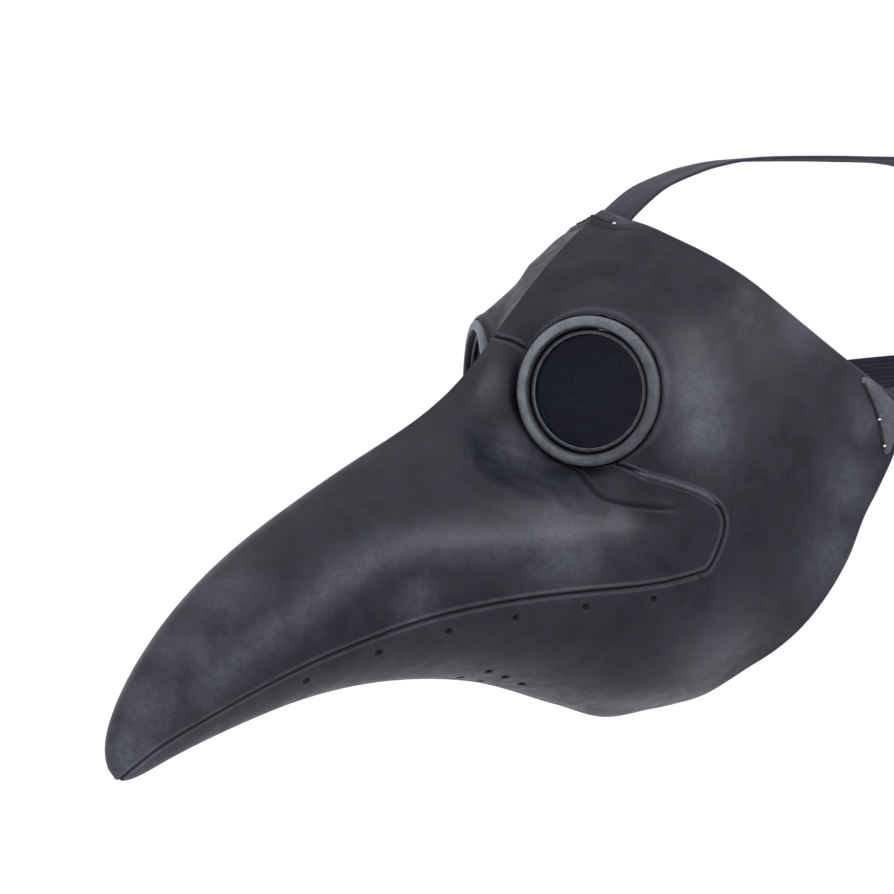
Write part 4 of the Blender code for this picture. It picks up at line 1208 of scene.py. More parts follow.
def cast_latex(name, base, high, low, highlight_colour, rough, shine, brush=1.0):
    """Slush-cast latex, dyed charcoal: cloudy satin skin, painted highlights on the rises and
    crests, painted shade in the grooves, and a fine pitted grain that breaks up the highlights."""
    paint, tree, shader = start(name)
    spot = coords_of(tree)
    cloud = noise(tree, (-4, 2), spot, 34.0, 3.0, 0.5, 0.6)
    mottle = noise(tree, (-4, 1), spot, 7.5, 5.0, 0.62, 0.3)
    speck = noise(tree, (-4, 0), spot, 1.5, 3.0, 0.6)
    colour = blend_colour(tree, (-2, 2), ramp(tree, (-3, 2), cloud, 0.36, 0.66),
                          linear(low), linear(base))
    colour = blend_colour(tree, (-1, 2), ramp(tree, (-3, 1), mottle, 0.48, 0.70, 0.0, 0.7),
                          colour, linear(high))
    tint = noise(tree, (-4, 3), spot, 17.0, 3.0, 0.55, 0.4)
    colour = blend_colour(tree, (-1, 3), ramp(tree, (-3, 3), tint, 0.42, 0.62, 0.0, 0.6),
                          colour, linear("#1e1a22"))
    # Shares of painted highlight and painted shade that the piece carries
    crest_highlight = add(tree, "ShaderNodeAttribute", (-6, -2), set_attribute_name="crest_highlight")
    broad_highlight = add(tree, "ShaderNodeAttribute", (-6, -3), set_attribute_name="broad_highlight")
    recess_shade = add(tree, "ShaderNodeAttribute", (-6, -4), set_attribute_name="recess_shade")
    # The painted highlights are broken up by the mottle and a fine speckle
    patchy = ramp(tree, (-3, -1), mottle, 0.30, 0.68, 0.66, 1.02)
    speckle = ramp(tree, (-3, 0), speck, 0.38, 0.66, 0.74, 1.0)
    mottled = sums(tree, (-2, -1), "MULTIPLY", patchy, speckle)
    highlight_amount = sums(tree, (-2, -2), "MULTIPLY_ADD", crest_highlight.outputs["Fac"], 0.45)
    tree.links.new(sums(tree, (-3, -3), "MULTIPLY", broad_highlight.outputs["Fac"], brush),
                   highlight_amount.node.inputs[2])
    share = sums(tree, (-1, -1), "MULTIPLY", highlight_amount, mottled)
    colour = blend_colour(tree, (0, 1), share, colour, linear(highlight_colour))
    # Painted shade: darker in the grooves and recesses
    dark = sums(tree, (-1, -3), "MULTIPLY", recess_shade.outputs["Fac"], 0.72)
    colour = blend_colour(tree, (1, 1), dark, colour, linear("#0d0e12"))
    tree.links.new(colour, shader.inputs["Base Color"])
    gloss = sums(tree, (1, -1), "MULTIPLY_ADD", recess_shade.outputs["Fac"], 0.2)
    gloss.node.inputs[2].default_value = rough
    tree.links.new(ramp(tree, (0, -1), mottle, 0.30, 0.72, rough - 0.05, rough + 0.09),
                   gloss.node.inputs[2])
    tree.links.new(gloss, shader.inputs["Roughness"])
    pores = add(tree, "ShaderNodeTexVoronoi", (0, -3), Vector=spot,
                Scale=1.0 / (1.1 * MM)).outputs["Distance"]
    grain = noise(tree, (0, -4), spot, 0.55, 3.0, 0.6)
    sag = noise(tree, (0, -5), spot, 14.0, 2.0, 0.45, 0.2)
    normal = relief_bump(tree, (2, -3), ((sag, 0.45), (mottle, 0.09),
                                         (ramp(tree, (1, -3), pores, 0.0, 0.35), 0.025),
                                         (grain, 0.035)))
    tree.links.new(normal, shader.inputs["Normal"])
    shader.inputs["Specular IOR Level"].default_value = shine
    return paint


def moulded_plastic(name, base, mottled, rough, grain_mm=0.4, rim=None):
    """Injection-moulded nylon: even satin, a spark-eroded mould grain, dulled patches."""
    paint, tree, shader = start(name)
    spot = coords_of(tree)
    patch = noise(tree, (-4, 1), spot, 5.0, 4.0)
    fine = noise(tree, (-4, 0), spot, grain_mm, 2.0)
    colour = blend_colour(tree, (0, 1), ramp(tree, (-2, 1), patch, 0.4, 0.7, 0.0, 0.7),
                          linear(base), linear(mottled))
    # Painted highlight along a marked rim, broken up by noise
    if rim:
        crest_highlight = add(tree, "ShaderNodeAttribute", (-6, -2), set_attribute_name="crest_highlight")
        rim_highlight = sums(tree, (0, 2), "MULTIPLY", crest_highlight.outputs["Fac"],
                       ramp(tree, (-2, 2), noise(tree, (-4, 2), spot, 1.6, 3.0), 0.36, 0.6,
                            0.25, 1.0))
        colour = blend_colour(tree, (1, 1), rim_highlight, colour, linear(rim))
    tree.links.new(colour, shader.inputs["Base Color"])
    tree.links.new(ramp(tree, (0, -1), patch, 0.3, 0.7, rough - 0.05, rough + 0.08),
                   shader.inputs["Roughness"])
    tree.links.new(relief_bump(tree, (2, -2), ((patch, 0.05), (fine, 0.02))),
                   shader.inputs["Normal"])
    return paint


def smoked_lens(name):
    """Smoked acrylic sheet: deep, polished, with a dusty film and hairline scratches."""
    paint, tree, shader = start(name)
    spot = coords_of(tree)
    dust = noise(tree, (-4, 2), spot, 3.6, 6.0, 0.7, 0.4)
    film = noise(tree, (-4, 1), spot, 16.0, 3.0, 0.5)
    stretched = add(tree, "ShaderNodeMapping", (-5, -1), Vector=spot,
                    Rotation=(0.4, 0.3, 0.5), Scale=(1.0, 0.05, 1.0)).outputs[0]
    hair = noise(tree, (-4, -1), stretched, 0.7, 2.0, 0.5, 0.8)
    line = sums(tree, (-2, -1), "ABSOLUTE", sums(tree, (-3, -1), "SUBTRACT", hair, 0.5))
    scratch = ramp(tree, (-1, -1), line, 0.0, 0.018, 1.0, 0.0)
    haze = sums(tree, (-1, 1), "MULTIPLY", ramp(tree, (-3, 2), dust, 0.5, 0.75, 0.0, 0.55),
                ramp(tree, (-3, 1), film, 0.4, 0.65))
    colour = blend_colour(tree, (0, 1), haze, linear("#090b12"), linear("#1d2331"))
    colour = blend_colour(tree, (1, 1), sums(tree, (0, 0), "MULTIPLY", scratch, 0.35),
                          colour, linear("#4a5060"))
    tree.links.new(colour, shader.inputs["Base Color"])
    gloss = sums(tree, (1, -1), "MULTIPLY_ADD", haze, 0.5)
    gloss.node.inputs[2].default_value = 0.17
    tree.links.new(gloss, shader.inputs["Roughness"])
    tree.links.new(relief_bump(tree, (2, -2), ((scratch, 0.01), (film, 0.05))),
                   shader.inputs["Normal"])
    shader.inputs["Specular IOR Level"].default_value = 0.07
    return paint


def woven_elastic(name, base, thread):
    """Knitted elastic webbing: lengthwise ribs crossed by fine weft, soft fuzzy sheen."""
    paint, tree, shader = start(name)
    flat = coords_of(tree, "UV")
    ribs = add(tree, "ShaderNodeTexWave", (-4, 2), Vector=flat, Scale=0.32 / (1.15 * MM) / 2,
               Distortion=0.25, Detail=1.0, set_bands_direction="Y").outputs["Fac"]
    weft = add(tree, "ShaderNodeTexWave", (-4, 1), Vector=flat, Scale=0.32 / (0.7 * MM) / 2,
               Distortion=0.8, Detail=2.0, set_bands_direction="X").outputs["Fac"]
    fuzz = noise(tree, (-4, 0), coords_of(tree), 0.5, 3.0, 0.6)
    patch = noise(tree, (-4, -1), coords_of(tree), 9.0, 3.0)
    weave = sums(tree, (-2, 1), "MULTIPLY", ribs, weft)
    colour = blend_colour(tree, (-1, 1), weave, linear(base), linear(thread))
    colour = blend_colour(tree, (0, 1), ramp(tree, (-2, -1), patch, 0.4, 0.7, 0.0, 0.3),
                          colour, linear("#1b1a20"))
    tree.links.new(colour, shader.inputs["Base Color"])
    tree.links.new(ramp(tree, (0, -1), fuzz, 0.3, 0.7, 0.72, 0.9),
                   shader.inputs["Roughness"])
    tree.links.new(relief_bump(tree, (2, -2), ((ribs, 0.22), (weft, 0.14), (fuzz, 0.05))),
                   shader.inputs["Normal"])
    shader.inputs["Sheen Weight"].default_value = 0.05
    shader.inputs["Sheen Roughness"].default_value = 0.5
    shader.inputs["Specular IOR Level"].default_value = 0.25
    return paint


def grained_leather(name, base, high, rough):
    """Bonded leather: pebbled grain with darker creases, rubbed lighter on the rises."""
    paint, tree, shader = start(name)
    spot = coords_of(tree)
    pebble = add(tree, "ShaderNodeTexVoronoi", (-4, 1), Vector=spot,
                 Scale=1.0 / (1.4 * MM)).outputs["Distance"]
    patch = noise(tree, (-4, 0), spot, 6.0, 4.0, 0.6)
    fine = noise(tree, (-4, -1), spot, 0.4, 2.0)
    share = sums(tree, (-1, 1), "MULTIPLY", ramp(tree, (-2, 1), pebble, 0.1, 0.5, 1.0, 0.2),
                 ramp(tree, (-2, 0), patch, 0.35, 0.65))
    colour = blend_colour(tree, (0, 1), share, linear(base), linear(high))
    tree.links.new(colour, shader.inputs["Base Color"])
    tree.links.new(ramp(tree, (0, -1), patch, 0.3, 0.7, rough - 0.06, rough + 0.1),
                   shader.inputs["Roughness"])
    tree.links.new(relief_bump(tree, (2, -2), ((pebble, 0.10), (patch, 0.12),
                                               (fine, 0.03))), shader.inputs["Normal"])
    return paint


def sewing_thread(name, base, fleck):
    """Twisted polyester thread: matte, with a fine spiral ply and lint flecks."""
    paint, tree, shader = start(name)
    spot = coords_of(tree)
    ply = add(tree, "ShaderNodeTexWave", (-4, 1), Vector=spot, Scale=0.32 / (0.35 * MM) / 2,
              Distortion=1.0, set_bands_direction="DIAGONAL").outputs["Fac"]
    lint = noise(tree, (-4, 0), spot, 0.8, 3.0)
    colour = blend_colour(tree, (0, 1), ramp(tree, (-2, 0), lint, 0.35, 0.7), linear(base),
                          linear(fleck))
    tree.links.new(colour, shader.inputs["Base Color"])
    tree.links.new(relief_bump(tree, (2, -2), ((ply, 0.05), (lint, 0.05))),
                   shader.inputs["Normal"])
    tree.links.new(ramp(tree, (0, -1), lint, 0.3, 0.7, 0.68, 0.85),
                   shader.inputs["Roughness"])
    return paint


def studio_card(name, colour):
    """Seamless paper sweep: bright matte white with barely visible tooth."""
    paint, tree, shader = start(name)
    spot = coords_of(tree)
    tooth = noise(tree, (-4, 1), spot, 3.0, 4.0)
    colour = blend_colour(tree, (0, 1), ramp(tree, (-2, 1), tooth, 0.3, 0.7),
                          linear(colour), linear("#ffffff"))
    tree.links.new(colour, shader.inputs["Base Color"])
    tree.links.new(relief_bump(tree, (2, -2), ((tooth, 0.05),)), shader.inputs["Normal"])
    tree.links.new(ramp(tree, (0, -1), tooth, 0.3, 0.7, 0.85, 0.95),
                   shader.inputs["Roughness"])
    return paint


# ------------------------------------------------------------------ settings
class MaskSettings(bpy.types.PropertyGroup):
    """Sizes and colours that a user may change"""
    seam_gap: bpy.props.FloatProperty(
        name="Seam gap", description="Open line left at the joint of beak and face",
        default=0.14 * MM, min=0.0, max=0.001, unit="LENGTH", precision=5)
    # Strength of the broad painted highlights on the rises
    brush: bpy.props.FloatProperty(
        name="Dry brushing", description="How strongly the rises are rubbed pale",
        default=0.9, min=0.0, max=1.5, subtype="FACTOR")
    latex: bpy.props.FloatVectorProperty(
        name="Latex", description="Colour of the dyed latex",
        default=linear("#14161b")[:3], size=3, subtype="COLOR", min=0.0, max=1.0)
    strap_ribs: bpy.props.IntProperty(
        name="Strap ribs", description="Raised ribs across the width of the webbing",
        default=14, min=0, max=40)
    stitch_pitch: bpy.props.FloatProperty(
        name="Stitch length", description="Distance from one stitch to the next",
        default=3.4 * MM, min=0.001, max=0.01, unit="LENGTH", precision=4)
    floor_drop: bpy.props.FloatProperty(
        name="Floor drop", description="Height of the mask's origin above the floor",
        default=1.35, min=0.2, max=1.5, unit="LENGTH")
    key_power: bpy.props.FloatProperty(
        name="Key light", description="Power of the large soft light", default=27.0,
        min=0.0, max=500.0, unit="POWER")


def hex_of(colour):
    """Linear RGB as sRGB hex."""
    parts = [c * 12.92 if c <= 0.0031308 else 1.055 * c ** (1 / 2.4) - 0.055 for c in colour]
    return "#" + "".join(f"{int(round(max(0.0, min(1.0, c)) * 255)):02x}" for c in parts)


SIDES = ((1.0, "left"), (-1.0, "right"))
BROAD_HIGHLIGHTS = (
    # station, step, reach in mm, strength: painted highlights where the rises catch the light
    (9.4, 4.75, 22.0, 0.85), (14.4, 3.1, 14.0, 0.55), (14.95, 5.2, 17.0, 0.55),
    (4.4, 1.2, 22.0, 0.5), (3.4, 1.0, 18.0, 0.55), (14.75, 6.1, 20.0, 0.6),
    (15.2, 4.4, 13.0, 0.5), (3.6, 2.6, 15.0, 0.55), (5.0, 4.0, 12.0, 0.35),
    (6.7, 5.2, 12.0, 0.45), (12.0, 8.3, 16.0, 0.7), (2.4, 2.2, 18.0, 0.75),
    (1.2, 3.0, 16.0, 1.0), (12.55, 3.95, 17.0, 1.0), (12.6, 3.6, 18.0, 0.9),
    (12.65, 3.1, 14.0, 0.3), (13.9, 3.3, 16.0, 0.2), (9.9, 0.0, 10.0, 0.15),
    (8.95, 2.7, 15.0, 0.55), (12.9, 7.1, 24.0, 0.45),
)


def broad_highlight_at(place):
    """Share of broad painted highlight at each place: a band along the beak's roll and soft spots
    at the listed places.
    """
    share = 0.6 * np.exp(-(ROLL_TRACK.distance(place) / 10.0) ** 2)
    for station, step, reach, strength in BROAD_HIGHLIGHTS:
        for side in (1.0, -1.0):
            centre = shell_point(station, step * side)
            away = np.linalg.norm(place - centre, axis=1) / reach
            share = np.maximum(share, strength * np.exp(-away ** 2))
    return share


LATEX = {
    # kind: material name, cloudy lighter and darker colours, colour of the painted highlights,
    # roughness, shine
    "ring": ("cast_latex_ring_painted_highlights", "#303139", "#202229", "#6e7077", 0.45, 0.18),
    "beak": ("cast_latex_beak_charcoal_satin", "#1a1c24", "#0f1117", "#4d4e53", 0.42, 0.165),
    "face": ("cast_latex_face_charcoal_satin", "#191b23", "#0d0f15", "#4f5056", 0.44, 0.165),
}


def latex_paint(settings, kind):
    """The latex of a kind, made once."""
    # The fourth colour is that of the painted highlights
    name, high, low, rubbed, rough, shine = LATEX[kind]
    return bpy.data.materials.get(name) or cast_latex(
        name, hex_of(settings.latex), high, low, rubbed, rough, shine, settings.brush)


def mask_settings(context):
    """The settings that the panel shows."""
    return context.scene.mask_settings


# ------------------------------------------------------------------ pieces
class MASK_OT_shells(bpy.types.Operator):
    """Cast latex beak and face shell with their joint, creases, pits and vents"""
    bl_idname = "mask.shells"
    bl_label = "Shells"

    def execute(self, context):
        settings = mask_settings(context)
        half_gap = settings.seam_gap / MM / 2.0
        eyes = eye_rows()
        folds = fold_rows(UNDER_EYE_FOLD, (0.0, 0.4, -0.4, 0.8, -0.8, 1.3, -1.3, 2.0, -2.0,
                                           2.9, -2.9))
        beak_loop = shrink(clean(seam_loop(True), 0.5), half_gap)
        beak = cast_panel("beak_upper_skin", [beak_loop],
                          [(ridge_rows(7.5, 10.3), 0.4), (folds, 0.3), (eyes, 0.55)],
                          shell_relief(True), SHELL_THICK, -SHELL_THICK)
        dressed(beak, "beak_upper_skin", "mask", latex_paint(settings, "beak"),
                ("beak_upper",))
        face_loop = shrink(clean(seam_loop(False), 0.5), -half_gap)
        face = cast_panel("face_shell_skin",
                          [REAR_LOOP, face_loop] + breathing_loops(BREATHING_R),
                          [(pit_rows(), 0.2), (folds, 0.3),
                           (ridge_rows(9.6, 13.2), 0.4), (eyes, 0.55)],
                          shell_relief(False), SHELL_THICK, -SHELL_THICK)
        dressed(face, "face_shell_skin", "mask", latex_paint(settings, "face"),
                ("face_shell",))
        return {"FINISHED"}


def ring_marks(piece, side):
    """Painted highlight and painted shade round an eyepiece ring, from the angle and the height:
    lighter towards the nose side and the top, darker at its foot and inner edge.
    """
    centre, normal, across, up = eye_frame(side)
    spots = np.array([v.co for v in piece.data.vertices]) / MM - centre
    height = spots @ normal
    turn = np.arctan2(spots @ up, spots @ across)
    radius = np.hypot(spots @ up, spots @ across)
    front = smooth((height - 4.0) / 3.5)
    # Painted light: the ring's face is lighter towards the nose side and the top, and darker
    # opposite
    shade = 0.5 + 0.5 * np.cos(turn - math.radians(155.0))
    middle = 1.0 - np.clip(np.abs(radius - 32.7) / 3.4, 0.0, 1.0) ** 2
    marks = {"crest_highlight": front * middle * (0.3 + 0.6 * shade),
             "broad_highlight": front * (0.26 + 0.7 * shade),
             "recess_shade": np.clip(1.0 - height / 3.0, 0.0, 1.0)
             + smooth((RING_IN_R + 0.7 - radius) / 0.7)}
    add_marks(piece, {key: np.clip(values, 0.0, 1.0) for key, values in marks.items()})


def rim_marks(piece, side):
    """Painted highlight of a lens seat: only the inner rim of its lip."""
    centre, normal, across, up = eye_frame(side)
    spots = np.array([v.co for v in piece.data.vertices]) / MM - centre
    radius = np.hypot(spots @ up, spots @ across)
    share = smooth((27.1 - radius) / 0.25) * smooth((spots @ normal - 4.6) / 0.4)
    add_marks(piece, {"crest_highlight": share})


class MASK_OT_eyepieces(bpy.types.Operator):
    """Goggle eyepieces: latex ring, lens seat with its lip, smoked lens and retainer"""
    bl_idname = "mask.eyepieces"
    bl_label = "Eyepieces"

    def execute(self, context):
        ring_paint = latex_paint(mask_settings(context), "ring")
        # The seat's rim colour is a painted highlight on the inner rim of its lip
        seat_paint = moulded_plastic("moulded_nylon_lens_seat", "#0d0e12", "#191b21", 0.5,
                                     rim="#5a5d68")
        lens_paint = smoked_lens("smoked_acrylic_lens")
        hold_paint = moulded_plastic("moulded_nylon_retainer", "#17181b", "#2a2b30", 0.5)
        for side, tag in SIDES:
            ring = turned("ring", side, (SKIN_RING_IN_R, RING_LOW, RING_OUT_R, RING_HIGH),
                          ((RING_OUT_R, RING_HIGH, 2.5, 7),
                           (SKIN_RING_IN_R, RING_HIGH, 1.7, 6),
                           (RING_OUT_R, RING_LOW, 0.4, 2),
                           (SKIN_RING_IN_R, RING_LOW, 0.3, 2)))
            ring_marks(ring, side)
            dressed(ring, "eye_ring_skin_" + tag, "mask", ring_paint, ("eye_ring_" + tag,))
            seat = turned("seat", side, (SEAT_IN_R, SEAT_LOW, SEAT_OUT_R, SEAT_HIGH),
                          ((SEAT_OUT_R, LIP_HIGH, 1.45, 5), (LIP_R, LIP_HIGH, 0.3, 4),
                           (LIP_R, SEAT_HIGH, 0.2, 2), (SEAT_IN_R, SEAT_LOW, 0.25, 2),
                           (SEAT_OUT_R, SEAT_LOW, 0.25, 2)), (LIP_R, LIP_HIGH))
            rim_marks(seat, side)
            dressed(seat, "lens_seat_moulding_" + tag, "mask", seat_paint,
                    ("lens_seat_" + tag,))
            lens = disc("lens", side, LENS_R, LENS_LOW, LENS_HIGH, 0.3)
            dressed(lens, "lens_pane_" + tag, "mask", lens_paint, ("lens_" + tag,))
            hold = turned("hold", side, (RETAINER_IN_R, RETAINER_LOW, LENS_R, RETAINER_HIGH),
                          [(radius, height, 0.35, 3)
                           for height in (RETAINER_LOW, RETAINER_HIGH)
                           for radius in (RETAINER_IN_R, LENS_R)])
            dressed(hold, "lens_retainer_ring_" + tag, "mask", hold_paint,
                    ("lens_retainer_" + tag,))
        return {"FINISHED"}


def welt_path():
    """Run of the piping along the upper edge of the cheek lobe."""
    curve = on_shell(LOBE[4:], 1.0)
    centre, normal, _, _ = eye_frame(1.0)
    place = place_of(curve)
    offset = place - centre
    reach = np.linalg.norm(offset - (offset @ normal)[:, None] * normal, axis=1)
    return curve[reach > RING_OUT_R + 2.2]


def tab_relief(loop, rim, sewn):
    """A tab that swells from a thin rim, of a height in mm, to its full thickness."""
    track = Track([loop], closed=True)
    seam = Track([on_shell(sewn, 1.0)])

    def relief(place, spots):
        away = track.distance(place)
        top = (rim - TAB_SWELL) * (1.0 - smooth(away / 3.6)) - 0.45
        # Painted shade along the stitch line and painted highlight growing towards the tab's
        # middle
        marks = {"crest_highlight": 0.0 * away, "recess_shade": np.exp(-(seam.distance(place) / 0.9) ** 2),
                 "broad_highlight": broad_highlight_at(place) + 0.3 * smooth(away / 4.0)}
        return top, 0.0 * away - 0.3, marks
    return relief


def stitch_line(points, lift):
    """Places and facings of a sewn line over the skin at a height in mm."""
    line = on_shell(points, 1.0)
    normal = skin_normal(line)
    return skin_place(line) + normal * lift, normal


class MASK_OT_trim(bpy.types.Operator):
    """Cheek welts, strap tabs and their stitching"""
    bl_idname = "mask.trim"
    bl_label = "Trim"

    def execute(self, context):
        settings = mask_settings(context)
        beak_paint = latex_paint(settings, "beak")
        tab_paint = grained_leather("bonded_leather_tab_charcoal", "#24252b", "#4a4c55", 0.5)
        dark_thread = sewing_thread("polyester_thread_black", "#0c0c0f", "#1d1e24")
        pale_thread = sewing_thread("polyester_thread_natural", "#b4b3b0", "#e6e5e2")
        pitch = settings.stitch_pitch / MM
        curve = welt_path()
        for side, tag in SIDES:
            run = curve * np.array((1.0, side))
            place = place_of(run)
            out = shell_normal(run[:, 0], run[:, 1])
            path = place + out * 0.35
            wide, out = frames_along(path, out)
            share = np.linspace(0.0, 1.0, len(path))
            taper = 0.25 + 0.75 * smooth(np.minimum(share, 1.0 - share) / 0.09)
            angle = 2.0 * math.pi * np.arange(18) / 18
            section = np.stack([1.15 * np.cos(angle), 0.95 * np.sin(angle) + 0.15], axis=-1)
            welt = sweep("welt", path, wide, out, section, scale=taper)
            count = len(welt.data.vertices)
            # Painted highlight all along the welt's crest, with some broad painted highlight
            add_marks(welt, {"crest_highlight": np.full(count, 0.8), "broad_highlight": np.full(count, 0.35),
                             "recess_shade": np.zeros(count)})
            dressed(welt, "cheek_welt_piping_" + tag, "mask", beak_paint,
                    ("cheek_welt_" + tag,))
        forehead = on_shell(FOREHEAD_TAB, 1.0, closed=True)
        relief = tab_relief(forehead, TAB_RIM["forehead"], FOREHEAD_STITCHES)
        tab = cast_panel("tab", [forehead], [], relief, TAB_T, TAB_LIFT)
        dressed(tab, "forehead_tab_leather", "mask", latex_paint(settings, "face"),
                ("forehead_tab",))
        place, out = stitch_line(FOREHEAD_STITCHES, STITCH_LIFT["forehead"])
        row = stitch_run("row", place, out, pitch, 0.45, 0.5)
        dressed(row, "forehead_stitches", "mask", dark_thread)
        place, out = stitch_line(FOREHEAD_KNOT, STITCH_LIFT["forehead"])
        self.knot("forehead_knot", place[0], out[0], pale_thread)
        for side, tag in SIDES:
            loop = on_shell(TEMPLE_TAB, 1.0, closed=True)
            if side < 0:
                loop = mirrored(loop)
            sewn = [(s, t * side) for s, t in TEMPLE_STITCHES]
            relief = tab_relief(loop, TAB_RIM["temple"], sewn)
            tab = cast_panel("tab", [loop], [], relief, TAB_T, TAB_LIFT)
            dressed(tab, "temple_tab_leather_" + tag, "mask", tab_paint,
                    ("temple_tab_" + tag,))
            place, out = stitch_line(sewn, STITCH_LIFT["temple"])
            row = stitch_run("row", place, out, pitch, 0.45, 0.5)
            dressed(row, "temple_stitches_" + tag, "mask", dark_thread)
            for k, share in enumerate((0.58, 0.97)):
                at = int(share * (len(place) - 1))
                self.knot(f"temple_knot_{k + 1}_{tag}", place[at] + out[at] * 0.25,
                          out[at], pale_thread)
        return {"FINISHED"}

    @staticmethod
    def knot(name, place, out, paint):
        """Small tied thread end: a flattened ball with its top pulled to one side."""
        turn = Vector(out).to_track_quat("Z", "Y")
        bpy.ops.object.select_all(action="DESELECT")
        bpy.ops.mesh.primitive_uv_sphere_add(segments=20, ring_count=12,
                                             radius=KNOT_R * MM,
                                             location=Vector(place * MM),
                                             rotation=turn.to_euler())
        piece = bpy.context.object
        piece.scale = (1.25, 0.85, 0.7)
        settle()
        bpy.ops.object.mode_set(mode="EDIT")
        pick(piece, lambda p: float((p - place) @ out) > 0.3, "VERT")
        bpy.ops.transform.translate(value=(0.0, 0.12 * MM, 0.1 * MM), snap=False)
        bpy.ops.object.mode_set(mode="OBJECT")
        bpy.ops.object.shade_smooth_by_angle(angle=math.radians(60.0))
        dressed(piece, name, "mask", paint)


class MASK_OT_straps(bpy.types.Operator):
    """Woven elastic top strap and side straps"""
    bl_idname = "mask.straps"
    bl_label = "Straps"

    def execute(self, context):
        settings = mask_settings(context)
        paint = woven_elastic("woven_elastic_webbing_black", "#1b1a22", "#3a3846")
        section = strap_section(STRAP_W, STRAP_T, settings.strap_ribs, 0.14, 84)
        run = run_even(dense_spline(BELT_CURVE, False), STRAP_POINTS)
        up = belt_point(0.0, 0.0, 1.0) - belt_point(0.0, 0.0, 0.0)
        for side, tag in SIDES:
            path = np.array([belt_point(side * x, along, 0.0) for x, along in run])
            wide = np.tile(up, (len(path), 1))
            strap = sweep("strap", path, wide, np.cross(heading(path), wide), section)
            dressed(strap, "side_strap_webbing_" + tag, "harness", paint,
                    ("side_strap_" + tag,))
        run = run_even(dense_spline(TOP_PATH, False), STRAP_POINTS)
        path = np.array([(0.0, y, z) for y, z in run])
        wide = np.tile(np.array((1.0, 0.0, 0.0)), (len(path), 1))
        strap = sweep("strap", path, wide, np.cross(heading(path), wide), section)
        for corner in strap.data.vertices:
            x, y, _ = np.array(corner.co) / MM
            share = 1.0 - float(smooth((y - TOP_ARCH_Y) / TOP_ARCH_FADE))
            corner.co.z -= TOP_ARCH * x * x * share * MM
        piece = dressed(strap, "top_strap_webbing", None, paint, ("top_strap",))
        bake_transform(piece)
        return {"FINISHED"}


class MASK_OT_fittings(bpy.types.Operator):
    """Rear pad with its stitching and the three-bar sliders"""
    bl_idname = "mask.fittings"
    bl_label = "Fittings"

    def execute(self, context):
        settings = mask_settings(context)
        pad_paint = grained_leather("bonded_leather_rear_pad", "#131318", "#26262d", 0.55)
        nylon = moulded_plastic("moulded_nylon_slider_black", "#141416", "#2a2b2f", 0.38)
        dark_thread = sewing_thread("polyester_thread_pad", "#2c2c33", "#5a5a64")
        pad = from_frame("rear_pad", 0.7, 4, 0.5)
        dressed(pad, "rear_pad_leather", "harness", pad_paint, ("rear_pad",))
        out = belt_point(0.0, 1.0, 0.0) - belt_point(0.0, 0.0, 0.0)
        corner = 4.6
        outline = []
        for cx, cz, first in ((15.0, 31.0, 0), (-15.0, 31.0, 1), (-15.0, -10.0, 2),
                              (15.0, -10.0, 3)):
            for k in range(7):
                angle = math.pi / 2 * (first + k / 6)
                outline.append((cx + corner * math.cos(angle),
                                cz + corner * math.sin(angle)))
        outline.append((outline[0][0], outline[0][1] - 1.2))
        place = np.array([belt_point(x, BELT_BACK + 3.05, z) for x, z in outline])
        row = stitch_run("row", place, np.tile(out, (len(place), 1)),
                         settings.stitch_pitch / MM, 0.42, 0.4)
        dressed(row, "rear_pad_stitches", "harness", dark_thread)
        box = dense_spline([(x, z) for x, z in ((-11.0, 28.2), (-11.0, 34.0), (11.0, 34.0),
                                                (11.0, 28.2), (-9.6, 28.2))], False)
        place = np.array([belt_point(x, BELT_BACK + 4.9, z) for x, z in box])
        row = stitch_run("row", place, np.tile(out, (len(place), 1)),
                         settings.stitch_pitch / MM, 0.35, 0.35)
        dressed(row, "top_strap_stitches", "harness", dark_thread)
        for _, tag in SIDES:
            slider = from_frame("strap_slider_" + tag, 0.55, 3, 1.0)
            dressed(slider, "strap_slider_moulding_" + tag, "slider_" + tag, nylon,
                    ("strap_slider_" + tag,))
        return {"FINISHED"}


# ------------------------------------------------------------------ stage
CAMERA_AT = Vector((1.57765, -1.31900, -0.02605))
CAMERA_ALONG = Vector((-0.788, 0.616, 0.0))
LENS_MM = 173.2
AIM = Vector((0.0, -0.08, -0.03))


def soft_light(name, towards, distance, size, power, colour="#ffffff"):
    """Area light at a direction (right, up, back) from the object, seen from the camera."""
    right = CAMERA_ALONG.cross(Vector((0.0, 0.0, 1.0))).normalized()
    place = AIM + (right * towards[0] + Vector((0.0, 0.0, towards[1]))
                   - CAMERA_ALONG * towards[2]).normalized() * distance
    data = bpy.data.lights.new(name, "AREA")
    data.shape = "RECTANGLE"
    data.size, data.size_y = size
    data.energy = power
    data.color = linear(colour)[:3]
    lamp = bpy.data.objects.new(name, data)
    lamp.location = place
    lamp.rotation_euler = (AIM - place).to_track_quat("-Z", "Y").to_euler()
    bpy.context.scene.collection.objects.link(lamp)


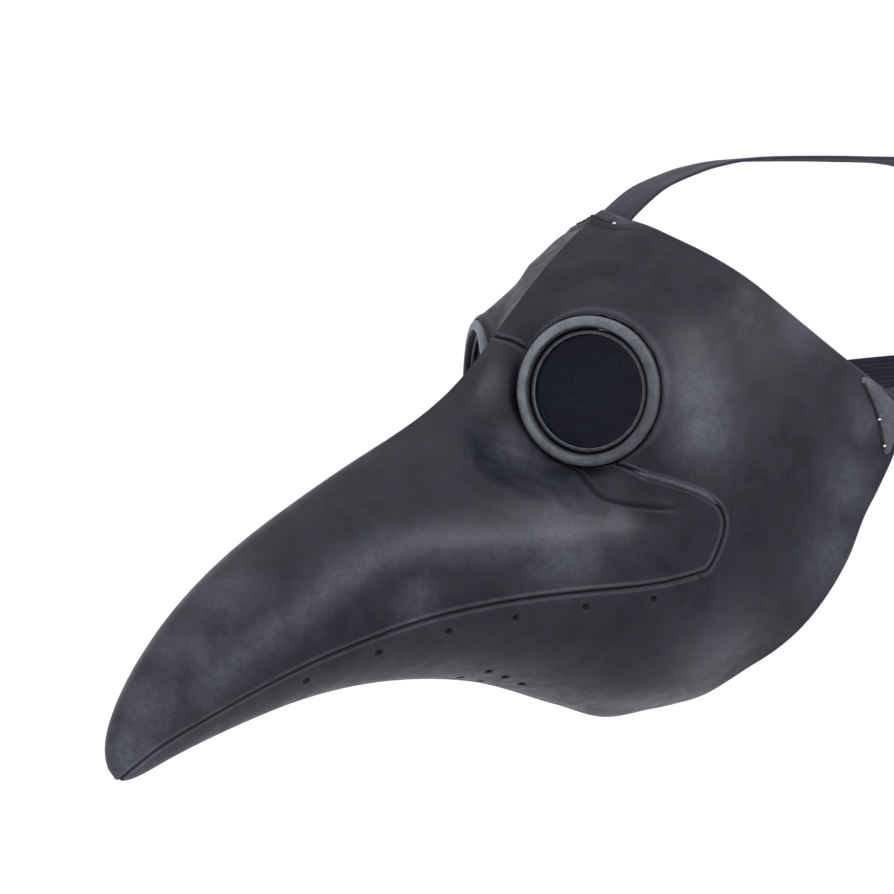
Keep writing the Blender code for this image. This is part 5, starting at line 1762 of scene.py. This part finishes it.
class MASK_OT_stage(bpy.types.Operator):
    """Pale seamless floor, soft lights and the camera"""
    bl_idname = "mask.stage"
    bl_label = "Stage"

    def execute(self, context):
        settings = mask_settings(context)
        bpy.ops.object.select_all(action="DESELECT")
        bpy.ops.mesh.primitive_circle_add(vertices=96, radius=3.4, fill_type="NGON",
                                          location=(0.0, 0.0, -settings.floor_drop))
        floor = bpy.context.object
        settle()
        bpy.ops.object.mode_set(mode="EDIT")
        pick(floor, lambda p: True)
        bpy.ops.mesh.select_all(action="SELECT")
        bpy.ops.mesh.region_to_loop()
        steps = 10
        for k in range(steps):
            low, high = (math.pi / 2 * (k + d) / steps for d in (0, 1))
            rise = 1.1 * (math.cos(low) - math.cos(high))
            grow = (3.4 + 1.1 * math.sin(high)) / (3.4 + 1.1 * math.sin(low))
            bpy.ops.mesh.extrude_region_move(TRANSFORM_OT_translate={
                "value": (0.0, 0.0, rise)})
            bpy.ops.transform.resize(value=(grow, grow, 1.0))
        bpy.ops.mesh.extrude_region_move(TRANSFORM_OT_translate={"value": (0.0, 0.0, 2.2)})
        bpy.ops.mesh.select_all(action="SELECT")
        bpy.ops.mesh.normals_make_consistent(inside=False)
        bpy.ops.object.mode_set(mode="OBJECT")
        bpy.ops.object.shade_smooth()
        floor.name = "paper_floor"
        floor.data.materials.append(studio_card("seamless_paper_white", "#f4f4f5"))
        world = bpy.data.worlds.new("studio_air")
        world.use_nodes = True
        world.node_tree.nodes["Background"].inputs["Color"].default_value = linear("#f6f8ff")
        world.node_tree.nodes["Background"].inputs["Strength"].default_value = 1.05
        context.scene.world = world
        soft_light("key_softbox", (0.78, 0.50, 0.42), 1.9, (0.95, 1.1), settings.key_power,
                   "#fbfcff")
        soft_light("top_softbox", (-0.1, 1.0, 0.25), 2.2, (2.4, 2.4), 22.0, "#f8faff")
        soft_light("front_fill", (-0.35, 0.1, 1.0), 2.6, (2.0, 1.6), 10.0, "#ffffff")
        data = bpy.data.cameras.new("product_camera")
        data.sensor_width = 36.0
        data.lens = LENS_MM
        data.clip_start = 0.05
        data.clip_end = 40.0
        camera = bpy.data.objects.new("product_camera", data)
        camera.location = CAMERA_AT
        camera.rotation_euler = CAMERA_ALONG.to_track_quat("-Z", "Y").to_euler()
        context.scene.collection.objects.link(camera)
        context.scene.camera = camera
        context.scene.view_settings.view_transform = "Standard"
        return {"FINISHED"}


STEPS = (MASK_OT_shells, MASK_OT_eyepieces, MASK_OT_trim, MASK_OT_straps,
         MASK_OT_fittings, MASK_OT_stage)


class MASK_PT_panel(bpy.types.Panel):
    """Lists the mask's pieces and their settings"""
    bl_idname = "MASK_PT_panel"
    bl_label = "Plague doctor mask"
    bl_space_type = "VIEW_3D"
    bl_region_type = "UI"
    bl_category = "Mask"

    def draw(self, context):
        layout = self.layout
        for step in STEPS:
            layout.operator(step.bl_idname, text=step.bl_label)
        settings = mask_settings(context)
        for key in MaskSettings.__annotations__:
            layout.prop(settings, key)


CLASSES = (MaskSettings, *STEPS, MASK_PT_panel)


def register():
    for item in CLASSES:
        bpy.utils.register_class(item)
    bpy.types.Scene.mask_settings = bpy.props.PointerProperty(type=MaskSettings)


def unregister():
    del bpy.types.Scene.mask_settings
    for item in reversed(CLASSES):
        bpy.utils.unregister_class(item)


def main():
    register()
    for step in STEPS:
        group, action = step.bl_idname.split(".")
        getattr(getattr(bpy.ops, group), action)()


if __name__ == "__main__":
    main()
